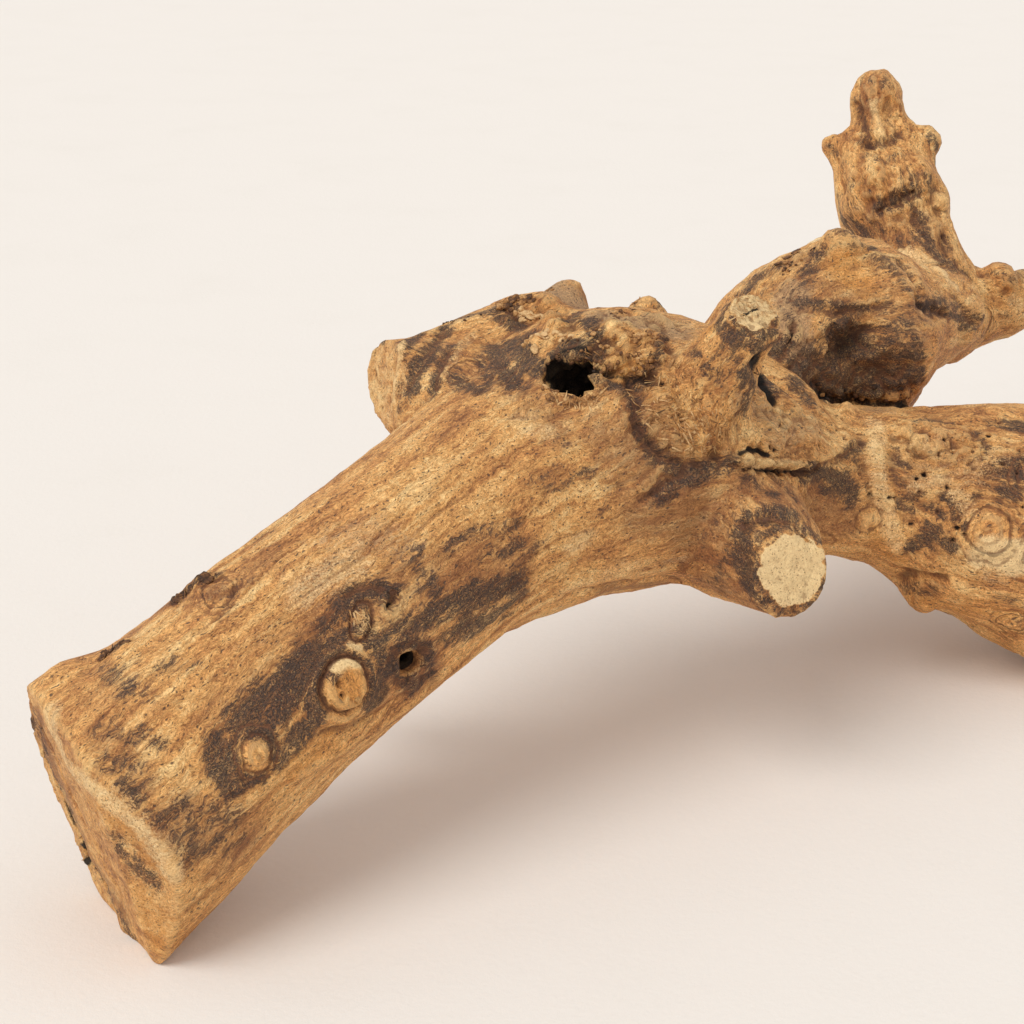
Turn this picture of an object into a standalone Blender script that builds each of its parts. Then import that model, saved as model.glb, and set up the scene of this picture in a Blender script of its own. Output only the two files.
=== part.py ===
"""A weathered mulberry root, one piece of wood that stands on its own feet.

Each limb of the root is a tube through a few route points, with its real radius at each. The tubes are
joined into one skin and their joints are smoothed. Then the saw cuts, the hollows and the feet are cut.
Sizes are in millimetres, in the root's own frame: +X to the right, +Y to the back, +Z up, floor at z = 0.
"""

import math

import bmesh
import bpy
from mathutils import Vector

MM = 0.001

# The routes' zero point lies here, which centres the root's footprint on the frame's origin.
PLACE = (-6, 6, 0)

WOOD_COLOUR = (0.55, 0.33, 0.15, 1.0)
WOOD_ROUGHNESS = 0.75

# The skin's grid size, the number and strength of its smoothing passes, and the triangles it keeps.
SKIN_GRID = 1.8
SKIN_SMOOTHING = 8
SKIN_SMOOTHING_FACTOR = 0.5
SKIN_TRIANGLES = 9000

# Sides of a limb's tube, and rings between two of its route points.
TUBE_SIDES = 20
TUBE_STEPS = 5
CAP_RINGS = 4

# Every route point is x, y, z and the limb's radius there.
LIMBS = {
    # The thick stem, from its sawn end at the front left up to the burl in the middle.
    "trunk": [
        (-146, -131, 6, 23.0),
        (-122, -113, 21, 23.0),
        (-108, -103, 31, 21.5),
        (-95, -91, 39, 21.0),
        (-80, -78, 47, 20.5),
        (-67, -64, 53, 20.8),
        (-54, -50, 56, 23.7),
        (-40, -37, 59, 27.5),
        (-26, -27, 57, 26.5),
        (-12, -18, 52, 22.0),
    ],
    "trunk_shoulder": [
        (-142, -117, 28, 10.0),
        (-127, -107, 37, 9.0),
        (-112, -100, 42, 7.0),
    ],
    "trunk_keel": [
        (-126, -131, -2, 8.0),
        (-116, -122, 8, 8.0),
        (-102, -114, 22, 8.0),
        (-88, -100, 32, 8.0),
    ],
    # The branch to the right, which comes down to the floor at its far end.
    "right_branch": [
        (-12, -18, 52, 20.0),
        (4, -10, 45, 16.0),
        (19, -5, 42, 16.0),
        (34, -1, 37, 20.5),
        (48, 1, 33, 24.0),
        (66, 4, 30, 23.0),
        (90, 9, 26, 18.5),
        (118, 14, 18, 14.0),
        (152, 6, 7, 12.0),
    ],
    "right_foot": [
        (54, 0, 20, 17.0),
        (67, -7, 10, 12.0),
        (76, -12, 1, 8.0),
    ],
    "right_spur": [
        (33, -8, 27, 8.0),
        (30, -11, 20, 4.5),
    ],
    "right_back_stub": [
        (80, 14, 34, 12.0),
        (84, 30, 42, 7.0),
        (86, 42, 48, 5.0),
    ],
    # The swollen limb behind it, which climbs to the back and ends in the mast and the fork.
    "upper_burl": [
        (-8, 2, 65, 13.5),
        (6, 17, 68, 17.0),
        (20, 27, 66, 20.0),
        (31, 36, 65, 12.5),
        (41, 50, 63, 10.0),
    ],
    "burl_peak": [
        (16, 24, 76, 9.0),
        (13, 18, 87, 4.0),
    ],
    "back_leg": [
        (24, 38, 58, 14.0),
        (28, 60, 45, 11.5),
        (27, 80, 29, 11.0),
        (22, 97, 13, 9.5),
        (18, 111, 0, 10.5),
    ],
    "mast": [
        (42, 60, 60, 11.5),
        (37, 74, 73, 11.5),
        (33, 81, 83, 13.0),
        (31, 86, 92, 10.0),
        (31, 89, 98, 6.8),
        (31, 92, 105, 6.3),
    ],
    "mast_left_stub": [
        (29, 87, 88, 5.0),
        (20, 87, 94, 3.4),
    ],
    "mast_right_stub": [
        (34, 84, 88, 6.0),
        (42, 86, 95, 4.4),
    ],
    "mast_right_knot": [
        (37, 80, 80, 9.0),
        (43, 76, 83, 4.0),
    ],
    "mast_low_knot": [
        (40, 70, 70, 9.0),
        (44, 69, 75, 4.0),
    ],
    "fork": [
        (45, 64, 59, 9.5),
        (56, 70, 59, 8.0),
        (67, 74, 61, 6.5),
    ],
    "fork_lump": [
        (56, 69, 61, 6.5),
        (57, 66, 68, 4.0),
    ],
    # The short stubs round the middle burl.
    "horn": [
        (-52, -42, 60, 22.0),
        (-66, -36, 68, 14.0),
        (-79, -30, 73, 7.5),
        (-84, -28, 74, 6.0),
    ],
    "crest": [
        (-74, -30, 72, 8.0),
        (-60, -24, 74, 10.0),
        (-48, -15, 77, 10.0),
        (-44, -10, 83, 4.5),
    ],
    "nub": [
        (-30, -16, 74, 10.0),
        (-28, -10, 80, 4.0),
    ],
    "finger": [
        (-24, -40, 64, 13.0),
        (-21, -44, 71, 10.5),
        (-16, -49, 81, 7.4),
        (-10, -53, 93, 5.0),
    ],
    "knob": [
        (-14, -36, 46, 15.0),
        (-9, -52, 46, 12.0),
        (-5, -66, 46, 8.3),
        (-2, -78, 46, 6.6),
    ],
    "trunk_back_stub": [
        (-74, -68, 46, 13.0),
        (-82, -54, 36, 8.0),
        (-88, -44, 28, 6.0),
    ],
}

# Hollows are cut with tubes of the same kind, from outside the wood inwards.
HOLLOWS = {
    "top_hollow": [
        (-46, -56, 83, 5.0),
        (-42, -48, 74, 4.2),
        (-39, -38, 62, 2.8),
    ],
    "rotted_knot": [
        (-70, -101, 42, 2.6),
        (-77, -92, 43, 1.6),
    ],
}

# A flat cut has a point on its face, the way its face looks, and its reach to each side.
CUTS = {
    "trunk_end": ((-115, -123, 0), (-0.85, -0.47, -0.24), 60),
    "trunk_end_bevel": ((-111, -131, 23), (-0.44, -0.87, -0.17), 30),
    "horn_end": ((-80, -30, 73), (-0.90, -0.35, 0.25), 13),
    "finger_end": ((-11.6, -51.5, 91.6), (0.35, -0.55, 0.76), 12),
    "knob_end": ((-4.6, -66.9, 47.7), (0.40, -0.90, 0.17), 14),
    "right_end": ((146, 5, 10), (0.96, -0.20, -0.20), 25),
    "fork_end": ((68, 74, 61), (0.85, 0.35, 0.38), 12),
    "back_stub_end": ((-89, -43, 27), (-0.45, 0.70, -0.55), 10),
    "right_back_stub_end": ((86, 43, 48), (0.15, 0.85, 0.50), 10),
    "floor": ((0, 0, 0), (0, 0, -1), 200),
}


def clear_scene():
    """Remove what the start file holds."""
    for obj in list(bpy.data.objects):
        bpy.data.objects.remove(obj)


def through(points, steps):
    """A smooth run of Vectors through 4-number points, with a few steps between each two."""
    ends = [2 * points[0] - points[1]] + points + [2 * points[-1] - points[-2]]
    run = []
    for index in range(1, len(ends) - 2):
        before, start, stop, after = ends[index - 1:index + 3]
        for step in range(steps):
            t = step / steps
            run.append(0.5 * (
                2 * start
                + (stop - before) * t
                + (2 * before - 5 * start + 4 * stop - after) * t ** 2
                + (3 * start - before - 3 * stop + after) * t ** 3
            ))
    run.append(points[-1])
    return run


def add_limb(body, route):
    """Loft one limb's tube, with a round cap at each end, into the bmesh."""
    run = through([Vector(point) for point in route], TUBE_STEPS)
    places = [point.xyz for point in run]
    radii = [point.w for point in run]
    first_way = (places[1] - places[0]).normalized()
    last_way = (places[-1] - places[-2]).normalized()
    for ring in range(1, CAP_RINGS):
        angle = ring / CAP_RINGS * math.pi / 2
        places.insert(0, run[0].xyz - first_way * run[0].w * math.sin(angle))
        radii.insert(0, run[0].w * math.cos(angle))
        places.append(run[-1].xyz + last_way * run[-1].w * math.sin(angle))
        radii.append(run[-1].w * math.cos(angle))
    side = first_way.orthogonal().normalized()
    rings = []
    for index, (place, radius) in enumerate(zip(places, radii)):
        way = (places[min(index + 1, len(places) - 1)] - places[max(index - 1, 0)]).normalized()
        side = (side - way * side.dot(way)).normalized()
        other = way.cross(side)
        ring = []
        for corner in range(TUBE_SIDES):
            angle = corner / TUBE_SIDES * math.tau
            out = side * math.cos(angle) + other * math.sin(angle)
            ring.append(body.verts.new((place + out * radius) * MM))
        rings.append(ring)
    for lower, upper in zip(rings, rings[1:]):
        for corner in range(TUBE_SIDES):
            after = (corner + 1) % TUBE_SIDES
            body.faces.new((lower[corner], lower[after], upper[after], upper[corner]))
    body.faces.new(list(reversed(rings[0])))
    body.faces.new(rings[-1])


def object_from(name, body):
    """Make a bmesh into a linked object that stands in the frame, and free the bmesh."""
    mesh = bpy.data.meshes.new(name)
    body.to_mesh(mesh)
    body.free()
    obj = bpy.data.objects.new(name, mesh)
    obj.location = [value * MM for value in PLACE]
    bpy.context.collection.objects.link(obj)
    return obj


def cutter_from(name, body):
    """Make a bmesh into an unseen cutting tool."""
    cutter = object_from(name + "_cutter", body)
    cutter.hide_render = True
    cutter.display_type = "WIRE"
    return cutter


def hollow_cutter(name, route):
    """A tube that covers all that rotted away along one hollow."""
    body = bmesh.new()
    add_limb(body, route)
    return cutter_from(name, body)


def flat_cutter(name, point, way, reach):
    """A box whose face lies in the cut, and which covers all that is cut away."""
    body = bmesh.new()
    bmesh.ops.create_cube(body, size=2 * reach * MM)
    turn = Vector(way).to_track_quat("Z", "Y").to_matrix()
    for vert in body.verts:
        vert.co = Vector(point) * MM + turn @ (vert.co + Vector((0, 0, reach * MM)))
    return cutter_from(name, body)


def add_modifier(obj, kind, name, **settings):
    """Add a modifier with its settings, and return it."""
    modifier = obj.modifiers.new(name, kind)
    for key, value in settings.items():
        setattr(modifier, key, value)
    return modifier


def triangles_of(obj):
    """Count the triangles of an object as its modifiers leave it."""
    bpy.context.view_layer.update()
    seen = obj.evaluated_get(bpy.context.evaluated_depsgraph_get())
    return sum(len(polygon.vertices) - 2 for polygon in seen.data.polygons)


def wood():
    """The wood's plain material."""
    material = bpy.data.materials.new("weathered_wood")
    material.use_nodes = True
    shader = material.node_tree.nodes["Principled BSDF"]
    shader.inputs["Base Color"].default_value = WOOD_COLOUR
    shader.inputs["Roughness"].default_value = WOOD_ROUGHNESS
    shader.inputs["Metallic"].default_value = 0.0
    return material


def build_root():
    """Join the limbs into one skin, then cut the hollows, the ends and the feet."""
    body = bmesh.new()
    for route in LIMBS.values():
        add_limb(body, route)
    root = object_from("mulberry_root", body)
    add_modifier(root, "REMESH", "skin", mode="VOXEL", voxel_size=SKIN_GRID * MM)
    add_modifier(root, "SMOOTH", "fillets", factor=SKIN_SMOOTHING_FACTOR, iterations=SKIN_SMOOTHING)
    ratio = SKIN_TRIANGLES / triangles_of(root)
    add_modifier(root, "DECIMATE", "fewer_faces", ratio=ratio)
    cutters = [hollow_cutter(name, route) for name, route in HOLLOWS.items()]
    cutters += [flat_cutter(name, *cut) for name, cut in CUTS.items()]
    for cutter in cutters:
        add_modifier(root, "BOOLEAN", cutter.name, operation="DIFFERENCE", object=cutter)
    root.data.materials.append(wood())


clear_scene()
build_root()
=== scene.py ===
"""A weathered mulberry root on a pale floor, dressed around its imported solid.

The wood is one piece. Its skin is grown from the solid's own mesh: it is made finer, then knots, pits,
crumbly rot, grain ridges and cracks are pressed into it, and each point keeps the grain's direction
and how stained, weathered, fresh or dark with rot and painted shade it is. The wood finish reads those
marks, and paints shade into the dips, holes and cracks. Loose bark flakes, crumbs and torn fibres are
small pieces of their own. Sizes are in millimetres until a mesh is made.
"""

import itertools
import logging
import math
from dataclasses import dataclass, field
from enum import Enum, IntEnum
from typing import Any, Iterable, Sequence

import bmesh
import bpy
import numpy as np
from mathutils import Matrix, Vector
from mathutils.bvhtree import BVHTree


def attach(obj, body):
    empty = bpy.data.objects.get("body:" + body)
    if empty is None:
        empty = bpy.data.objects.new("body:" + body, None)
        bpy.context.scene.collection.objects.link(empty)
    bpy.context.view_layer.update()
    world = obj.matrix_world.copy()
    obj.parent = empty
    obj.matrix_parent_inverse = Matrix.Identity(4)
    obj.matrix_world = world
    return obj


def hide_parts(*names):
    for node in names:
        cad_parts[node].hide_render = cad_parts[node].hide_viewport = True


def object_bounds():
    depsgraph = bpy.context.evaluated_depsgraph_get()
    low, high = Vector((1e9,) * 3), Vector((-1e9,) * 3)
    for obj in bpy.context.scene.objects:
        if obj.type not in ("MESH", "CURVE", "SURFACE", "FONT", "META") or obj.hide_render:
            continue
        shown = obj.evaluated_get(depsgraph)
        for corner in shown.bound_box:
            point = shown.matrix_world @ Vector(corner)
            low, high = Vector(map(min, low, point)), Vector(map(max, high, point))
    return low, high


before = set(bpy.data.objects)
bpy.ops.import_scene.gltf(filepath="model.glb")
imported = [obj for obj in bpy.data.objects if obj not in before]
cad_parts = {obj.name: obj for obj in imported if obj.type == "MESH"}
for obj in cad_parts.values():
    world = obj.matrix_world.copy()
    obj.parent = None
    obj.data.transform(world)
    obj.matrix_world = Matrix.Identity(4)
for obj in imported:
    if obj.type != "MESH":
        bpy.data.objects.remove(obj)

LOG = logging.getLogger("mulberry_root")

MM = 0.001
NODE = "mulberry_root"
BODY = "root"

# The limbs' routes are given in the root's own millimetres, whose zero lies here in the frame.
PLACE = np.array([-6.0, 6.0, 0.0])

# A gap, in millimetres, and a ring's number that stand for nothing near.
NO_GAP = 1e3
NO_RING = 50.0

CAD_BOX = [list(corner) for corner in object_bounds()]


def hex_colour(code: str) -> tuple[float, float, float, float]:
    """Turn a six-digit screen colour into the linear colour that a shader takes.

    Args:
        code: Six hexadecimal digits, red first.

    Returns:
        Linear red, green, blue and a full alpha.
    """
    parts = [int(code[start:start + 2], 16) / 255 for start in (0, 2, 4)]
    linear = [part / 12.92 if part <= 0.04045 else ((part + 0.055) / 1.055) ** 2.4 for part in parts]
    return (*linear, 1.0)


def unit(rows: np.ndarray) -> np.ndarray:
    """Scale each row to length one."""
    return rows / np.maximum(np.linalg.norm(rows, axis=-1, keepdims=True), 1e-12)


def ease(low: float, high: float, value: np.ndarray) -> np.ndarray:
    """Rise smoothly from 0 at low to 1 at high."""
    t = np.clip((value - low) / (high - low), 0.0, 1.0)
    return t * t * (3.0 - 2.0 * t)


def fall(low: float, high: float, value: np.ndarray) -> np.ndarray:
    """Fall smoothly from 1 at low to 0 at high."""
    return 1.0 - ease(low, high, value)


def bell(middle: float, wide: float, value: np.ndarray) -> np.ndarray:
    """Rise to 1 at the middle and fall away on both sides of it."""
    return np.exp(-((value - middle) / wide) ** 2)


def add_object(name: str, data: bpy.types.ID) -> bpy.types.Object:
    """Make an object of a mesh, light or camera, and put it in the scene."""
    made = bpy.data.objects.new(name, data)
    bpy.context.scene.collection.objects.link(made)
    return made


class Noise:
    """Smooth and cell noise over points, the same at each run for one seed."""

    LATTICE = 256
    LAST = LATTICE - 1
    LAYER_SHIFT = 17.3
    FARTHEST = 9.0

    def __init__(self, seed: int) -> None:
        """Shuffle the lattice for this seed."""
        draw = np.random.default_rng(seed)
        self.table = draw.permutation(self.LATTICE).astype(np.int32)
        self.slopes = unit(draw.normal(size=(self.LATTICE, 3))).astype(np.float32).T.copy()
        self.offsets = draw.random((self.LATTICE, 3)).astype(np.float32).T.copy()

    def _lattice(self, x: np.ndarray, y: np.ndarray, z: np.ndarray) -> np.ndarray:
        """Look up the lattice's number at whole-number places."""
        table = self.table
        last = self.LAST
        return table[(table[(table[x & last] + y) & last] + z) & last]

    @staticmethod
    def _split(points: np.ndarray) -> tuple[np.ndarray, np.ndarray]:
        """Split places into their unit cells and the places inside them, as three rows each."""
        rows = np.ascontiguousarray(points.T, np.float32)
        cell = np.floor(rows)
        return cell.astype(np.int32), rows - cell

    def at(self, points: np.ndarray) -> np.ndarray:
        """Gradient noise of wavelength one.

        Args:
            points: Rows of x, y, z.

        Returns:
            One number a row, mostly between -0.7 and 0.7.
        """
        cell, inside = self._split(points)
        fade = inside ** 3 * (inside * (inside * 6 - 15) + 10)
        total = np.zeros(len(points), np.float32)
        for i, j, k in itertools.product((0, 1), repeat=3):
            slope = self.slopes[:, self._lattice(cell[0] + i, cell[1] + j, cell[2] + k)]
            share = (fade[0] if i else 1 - fade[0]) * (fade[1] if j else 1 - fade[1])
            share *= fade[2] if k else 1 - fade[2]
            rise = (inside[0] - i) * slope[0] + (inside[1] - j) * slope[1] + (inside[2] - k) * slope[2]
            total += share * rise
        return total

    def layers(self, points: np.ndarray, count: int, weaker: float = 0.5) -> np.ndarray:
        """Add finer layers of noise, each at twice the rate of the one before.

        Args:
            points: Rows of x, y, z.
            count: How many layers.
            weaker: How strong each next layer is for a strength of one before it.

        Returns:
            One number a row.
        """
        total = np.zeros(len(points), np.float32)
        for index in range(count):
            total += self.at(points * 2 ** index + self.LAYER_SHIFT * index) * weaker ** index
        return total

    def cells(self, points: np.ndarray) -> tuple[np.ndarray, np.ndarray]:
        """Find the nearest of one random point in each unit cell.

        Args:
            points: Rows of x, y, z.

        Returns:
            The distance to it, and a number from 0 to 1 that is the cell's own.
        """
        cell, inside = self._split(points)
        nearest = np.full(len(points), self.FARTHEST, np.float32)
        owner = np.zeros(len(points), np.int32)
        for i, j, k in itertools.product((-1, 0, 1), repeat=3):
            number = self._lattice(cell[0] + i, cell[1] + j, cell[2] + k)
            away = self.offsets[:, number]
            x = away[0] + i - inside[0]
            y = away[1] + j - inside[1]
            z = away[2] + k - inside[2]
            gap = x ** 2 + y ** 2 + z ** 2
            closer = gap < nearest
            nearest = np.where(closer, gap, nearest)
            owner = np.where(closer, number, owner)
        return np.sqrt(nearest), owner / self.LAST


class Layer(Enum):
    """Which set of grain directions a limb belongs to; limbs of one set don't touch each other."""

    STEM = "stem"
    SIDE = "side"
    TWIG = "twig"


@dataclass
class Limb:
    """One limb of the root, which gives the grain its direction.

    Its route has x, y, z and the limb's radius at each point, in the root's own millimetres. No limb
    starts along first_up, and each goes on by so many legs beyond its ends.
    """

    layer: Layer
    route: list[tuple[float, float, float, float]]
    steps: int = 5
    first_up: tuple[float, float, float] = (0.3, 0.2, 0.93)
    beyond: float = 9.0

    def __post_init__(self) -> None:
        """Work out the spine: places, radii, lengths and a frame that doesn't twist."""
        knots = np.array(self.route, float)
        knots[:, :3] += PLACE
        ends = np.vstack([2 * knots[0] - knots[1], knots, 2 * knots[-1] - knots[-2]])
        run = []
        for before, start, stop, after in zip(ends, ends[1:], ends[2:], ends[3:]):
            for step in range(self.steps):
                t = step / self.steps
                run.append(0.5 * (
                    2 * start
                    + (stop - before) * t
                    + (2 * before - 5 * start + 4 * stop - after) * t ** 2
                    + (3 * start - before - 3 * stop + after) * t ** 3
                ))
        run.append(knots[-1])
        run = np.array(run)
        self.spine = run[:, :3]
        self.radius = run[:, 3]
        self.ways = unit(np.gradient(self.spine, axis=0))
        legs = np.linalg.norm(np.diff(self.spine, axis=0), axis=1)
        self.length = np.concatenate([[0], np.cumsum(legs)])
        side = np.cross(self.ways[0], self.first_up)
        sides = []
        for way in self.ways:
            side = side - way * (side @ way)
            side /= np.linalg.norm(side)
            sides.append(side)
        self.sides = np.array(sides)
        self.others = np.cross(self.ways, self.sides)

    def measure(self, points: np.ndarray, reach: float) -> tuple[np.ndarray, np.ndarray]:
        """Find how far points are from the limb's skin, and their places along and across it.

        Args:
            points: Rows of x, y, z in the frame.
            reach: Points farther away than this are left out.

        Returns:
            The gap to the limb's skin, NO_GAP where left out, and rows of across, across, along.
        """
        gap = np.full(len(points), NO_GAP, np.float32)
        places = np.zeros((len(points), 3), np.float32)
        margin = self.radius.max() + reach
        low = self.spine.min(0) - margin
        high = self.spine.max(0) + margin
        near = np.flatnonzero(((points > low) & (points < high)).all(1))
        subset = points[near]
        best = np.full(len(near), NO_GAP)
        which = np.zeros(len(near), int)
        share = np.zeros(len(near))
        last = len(self.spine) - 2
        for index in range(last + 1):
            start = self.spine[index]
            leg = self.spine[index + 1] - start
            t = (subset - start) @ leg / (leg @ leg)
            held = np.clip(t, 0.0, 1.0)
            away = np.linalg.norm(subset - start - held[:, None] * leg, axis=1)
            skin = away - (self.radius[index] * (1 - held) + self.radius[index + 1] * held)
            closer = skin < best
            best = np.where(closer, skin, best)
            which = np.where(closer, index, which)
            low_end = -self.beyond if index == 0 else 0.0
            high_end = self.beyond if index == last else 1.0
            share = np.where(closer, np.clip(t, low_end, high_end), share)
        held = np.clip(share, 0, 1)[:, None]
        centre = self.spine[which] * (1 - share[:, None]) + self.spine[which + 1] * share[:, None]
        side = self.sides[which] * (1 - held) + self.sides[which + 1] * held
        other = self.others[which] * (1 - held) + self.others[which + 1] * held
        out = subset - centre
        along = self.length[which] * (1 - share) + self.length[which + 1] * share
        gap[near] = best
        places[near] = np.column_stack([(out * side).sum(1), (out * other).sum(1), along])
        return gap, places

    def way_at(self, point: np.ndarray) -> np.ndarray:
        """Give the limb's direction nearest to a point."""
        return self.ways[np.argmin(np.linalg.norm(self.spine - point, axis=1))]


STEM = Limb(Layer.STEM, [
    (-146, -131, 6, 23.0), (-122, -113, 21, 23.0), (-108, -103, 31, 21.5), (-95, -91, 39, 21.0),
    (-80, -78, 47, 20.5), (-67, -64, 53, 20.8), (-54, -50, 56, 23.7), (-40, -37, 59, 27.5),
    (-26, -27, 57, 26.5), (-12, -18, 52, 21.0), (4, -10, 45, 16.0), (19, -5, 42, 16.0),
    (34, -1, 37, 20.5), (48, 1, 33, 24.0), (66, 4, 30, 23.0), (90, 9, 26, 18.5),
    (118, 14, 18, 14.0), (152, 6, 7, 12.0),
])
BURL = Limb(Layer.SIDE, [
    (-8, 2, 65, 13.5), (6, 17, 68, 17.0), (20, 27, 66, 20.0), (31, 36, 65, 16.5), (41, 50, 63, 11.0),
    (42, 60, 60, 11.5), (37, 74, 73, 11.5), (33, 81, 83, 13.0), (31, 86, 92, 10.0), (31, 89, 98, 6.0),
    (31, 92, 105, 6.3),
])
FINGER = Limb(Layer.SIDE, [
    (-24, -40, 64, 13.0), (-21, -44, 71, 11.0), (-16, -49, 81, 8.0), (-10, -53, 92, 6.0),
])
KNOB = Limb(Layer.TWIG, [
    (-14, -36, 46, 15.0), (-9, -52, 46, 12.0), (-5, -66, 46, 8.3), (-2, -78, 46, 7.0),
])
HORN = Limb(Layer.SIDE, [
    (-52, -42, 60, 22.0), (-66, -36, 68, 14.0), (-79, -30, 73, 7.5), (-84, -28, 74, 6.0),
])
CREST = Limb(Layer.TWIG, [
    (-74, -30, 72, 8.0), (-60, -24, 74, 10.0), (-48, -15, 77, 10.0), (-44, -10, 83, 4.5),
])
NUB = Limb(Layer.TWIG, [(-30, -16, 74, 10.0), (-28, -10, 80, 4.0)])
BACK_LEG = Limb(Layer.TWIG, [
    (24, 38, 58, 14.0), (28, 60, 45, 11.5), (27, 80, 29, 11.0), (22, 97, 13, 9.5), (18, 111, 0, 10.5),
])
FORK = Limb(Layer.TWIG, [(45, 64, 59, 9.5), (56, 70, 59, 8.0), (67, 74, 61, 6.5)])
MAST_LEFT = Limb(Layer.TWIG, [(29, 87, 88, 5.0), (21, 87, 92, 2.3)])
MAST_RIGHT = Limb(Layer.TWIG, [(34, 84, 88, 6.0), (42, 86, 94, 3.2)])
TRUNK_STUB = Limb(Layer.SIDE, [(-74, -68, 46, 13.0), (-82, -54, 36, 8.0), (-88, -44, 28, 6.0)])
BRANCH_STUB = Limb(Layer.SIDE, [(80, 14, 34, 12.0), (84, 30, 42, 7.0), (86, 42, 48, 5.0)])
FOOT = Limb(Layer.TWIG, [(54, 0, 20, 17.0), (67, -7, 10, 12.0), (76, -12, 1, 8.0)])

# The rotted hollows, from the mouth inwards: the one on the top and the one in a knot.
HOLLOWS = [
    Limb(Layer.SIDE, [(-43.3, -50.6, 76.5, 4.4), (-42, -48, 74, 4.4), (-39, -38, 62, 3.0)]),
    Limb(Layer.SIDE, [(-74.2, -95.6, 42.6, 1.9), (-77, -92, 43, 1.6)]),
]

LIMBS = [
    STEM, BURL, FINGER, KNOB, HORN, CREST, NUB, BACK_LEG, FORK, MAST_LEFT, MAST_RIGHT, TRUNK_STUB,
    BRANCH_STUB, FOOT,
]


@dataclass(frozen=True)
class Camera:
    """The camera at the photograph's viewing angle."""

    place: tuple[float, float, float] = (-61.0, -469.0, 207.0)
    dip: float = 20.0
    lens: float = 85.0
    sensor: float = 36.0
    picture: int = 1024
    nearest: float = 0.01
    farthest: float = 50.0

    def set_up(self) -> bpy.types.Object:
        """Make the camera and let the scene look through it."""
        data = bpy.data.cameras.new("camera")
        data.lens = self.lens
        data.sensor_width = self.sensor
        data.clip_start = self.nearest
        data.clip_end = self.farthest
        camera = add_object("camera", data)
        camera.location = [value * MM for value in self.place]
        camera.rotation_euler = (math.radians(90 - self.dip), 0, 0)
        bpy.context.scene.camera = camera
        return camera

    def ray(self, across: float, down: float) -> tuple[Vector, Vector]:
        """Give the line of sight through one place of the photograph.

        Args:
            across: Pixels from the left edge.
            down: Pixels from the top edge.

        Returns:
            The camera's place in millimetres, and the line's direction.
        """
        scale = self.sensor / self.lens / self.picture
        dip = math.radians(self.dip)
        right = (across - self.picture / 2) * scale
        rise = (self.picture / 2 - down) * scale
        way = Vector((
            right,
            math.cos(dip) + rise * math.sin(dip),
            -math.sin(dip) + rise * math.cos(dip),
        ))
        return Vector(self.place), way.normalized()

    def frames(self, place: np.ndarray) -> bool:
        """Tell whether a place is left of the photograph's right edge."""
        dip = math.radians(self.dip)
        away = place - self.place
        depth = away[1] * math.cos(dip) - away[2] * math.sin(dip)
        return bool(away[0] / depth < 0.5 * self.sensor / self.lens)


CAMERA = Camera()
Pixel = tuple[float, float]

# The photograph's right and its top, as ways in the frame.
PICTURE_RIGHT = np.array([1.0, 0.0, 0.0])
PICTURE_UP = np.array([0.0, math.sin(math.radians(CAMERA.dip)), math.cos(math.radians(CAMERA.dip))])

# A trail's leg that is longer than this, in millimetres, leaps from one limb to another, and a place is
# hidden where its line of sight meets the wood farther away from it than the gap.
LONGEST_LEG = 6.0
HIDING_GAP = 8.0


def lean_way(lean: float) -> np.ndarray:
    """Give the way that leans, by so many degrees, from the photograph's right towards its top."""
    turn = math.radians(lean)
    return PICTURE_RIGHT * math.cos(turn) + PICTURE_UP * math.sin(turn)


class Sight:
    """Finds the place on the wood that shows at a place of the photograph."""

    def __init__(self, mesh: bpy.types.Mesh) -> None:
        """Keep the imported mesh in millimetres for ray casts."""
        corners = [vertex.co / MM for vertex in mesh.vertices]
        faces = [polygon.vertices for polygon in mesh.polygons]
        self.tree = BVHTree.FromPolygons(corners, faces)

    def spot(self, at: Pixel) -> tuple[np.ndarray, np.ndarray] | None:
        """Cast one line of sight.

        Args:
            at: Pixels across and down in the photograph.

        Returns:
            The place on the wood and its outward direction, or None where there is no wood.
        """
        place, normal, _, _ = self.tree.ray_cast(*CAMERA.ray(*at))
        if place is None:
            return None
        return np.array(place), np.array(normal)

    def hides(self, place: np.ndarray) -> bool:
        """Tell whether the photograph doesn't show a place of the wood."""
        eye = Vector(CAMERA.place)
        found, _, _, _ = self.tree.ray_cast(eye, (Vector(place) - eye).normalized())
        if found is None or not CAMERA.frames(place):
            return True
        return (found - Vector(place)).length > HIDING_GAP

    def trail(self, path: Sequence[Pixel], spacing: float = 7.0) -> list[tuple[np.ndarray, np.ndarray]]:
        """Follow a path drawn over the photograph along the wood.

        Args:
            path: The path's corners, in pixels.
            spacing: Pixels between two places.

        Returns:
            The trail's short legs, each a start and a stop. A leg that would leap from one limb to
            another is left out.
        """
        places = []
        for start, stop in zip(path, path[1:]):
            count = max(1, round(math.dist(start, stop) / spacing))
            for step in range(count):
                t = step / count
                places.append(self.spot((
                    start[0] + (stop[0] - start[0]) * t,
                    start[1] + (stop[1] - start[1]) * t,
                )))
        places.append(self.spot(path[-1]))
        legs = []
        for first, second in zip(places, places[1:]):
            if first and second and np.linalg.norm(second[0] - first[0]) < LONGEST_LEG:
                legs.append((first[0], second[0]))
        return legs


class Mark(Enum):
    """What a patch of the wood is marked with."""

    STAIN = "stain"
    UMBER = "umber"
    GREY = "grey"
    FRESH = "fresh"
    # Near black: the dark of rot, and painted shade deep in the holes, cracks and crevices and under
    # lips.
    ROT_AND_SHADE = "rot_and_shade"
    AMBER = "amber"
    CRUST = "crust"
    PITS = "pits"
    GNARL = "gnarl"


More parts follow.
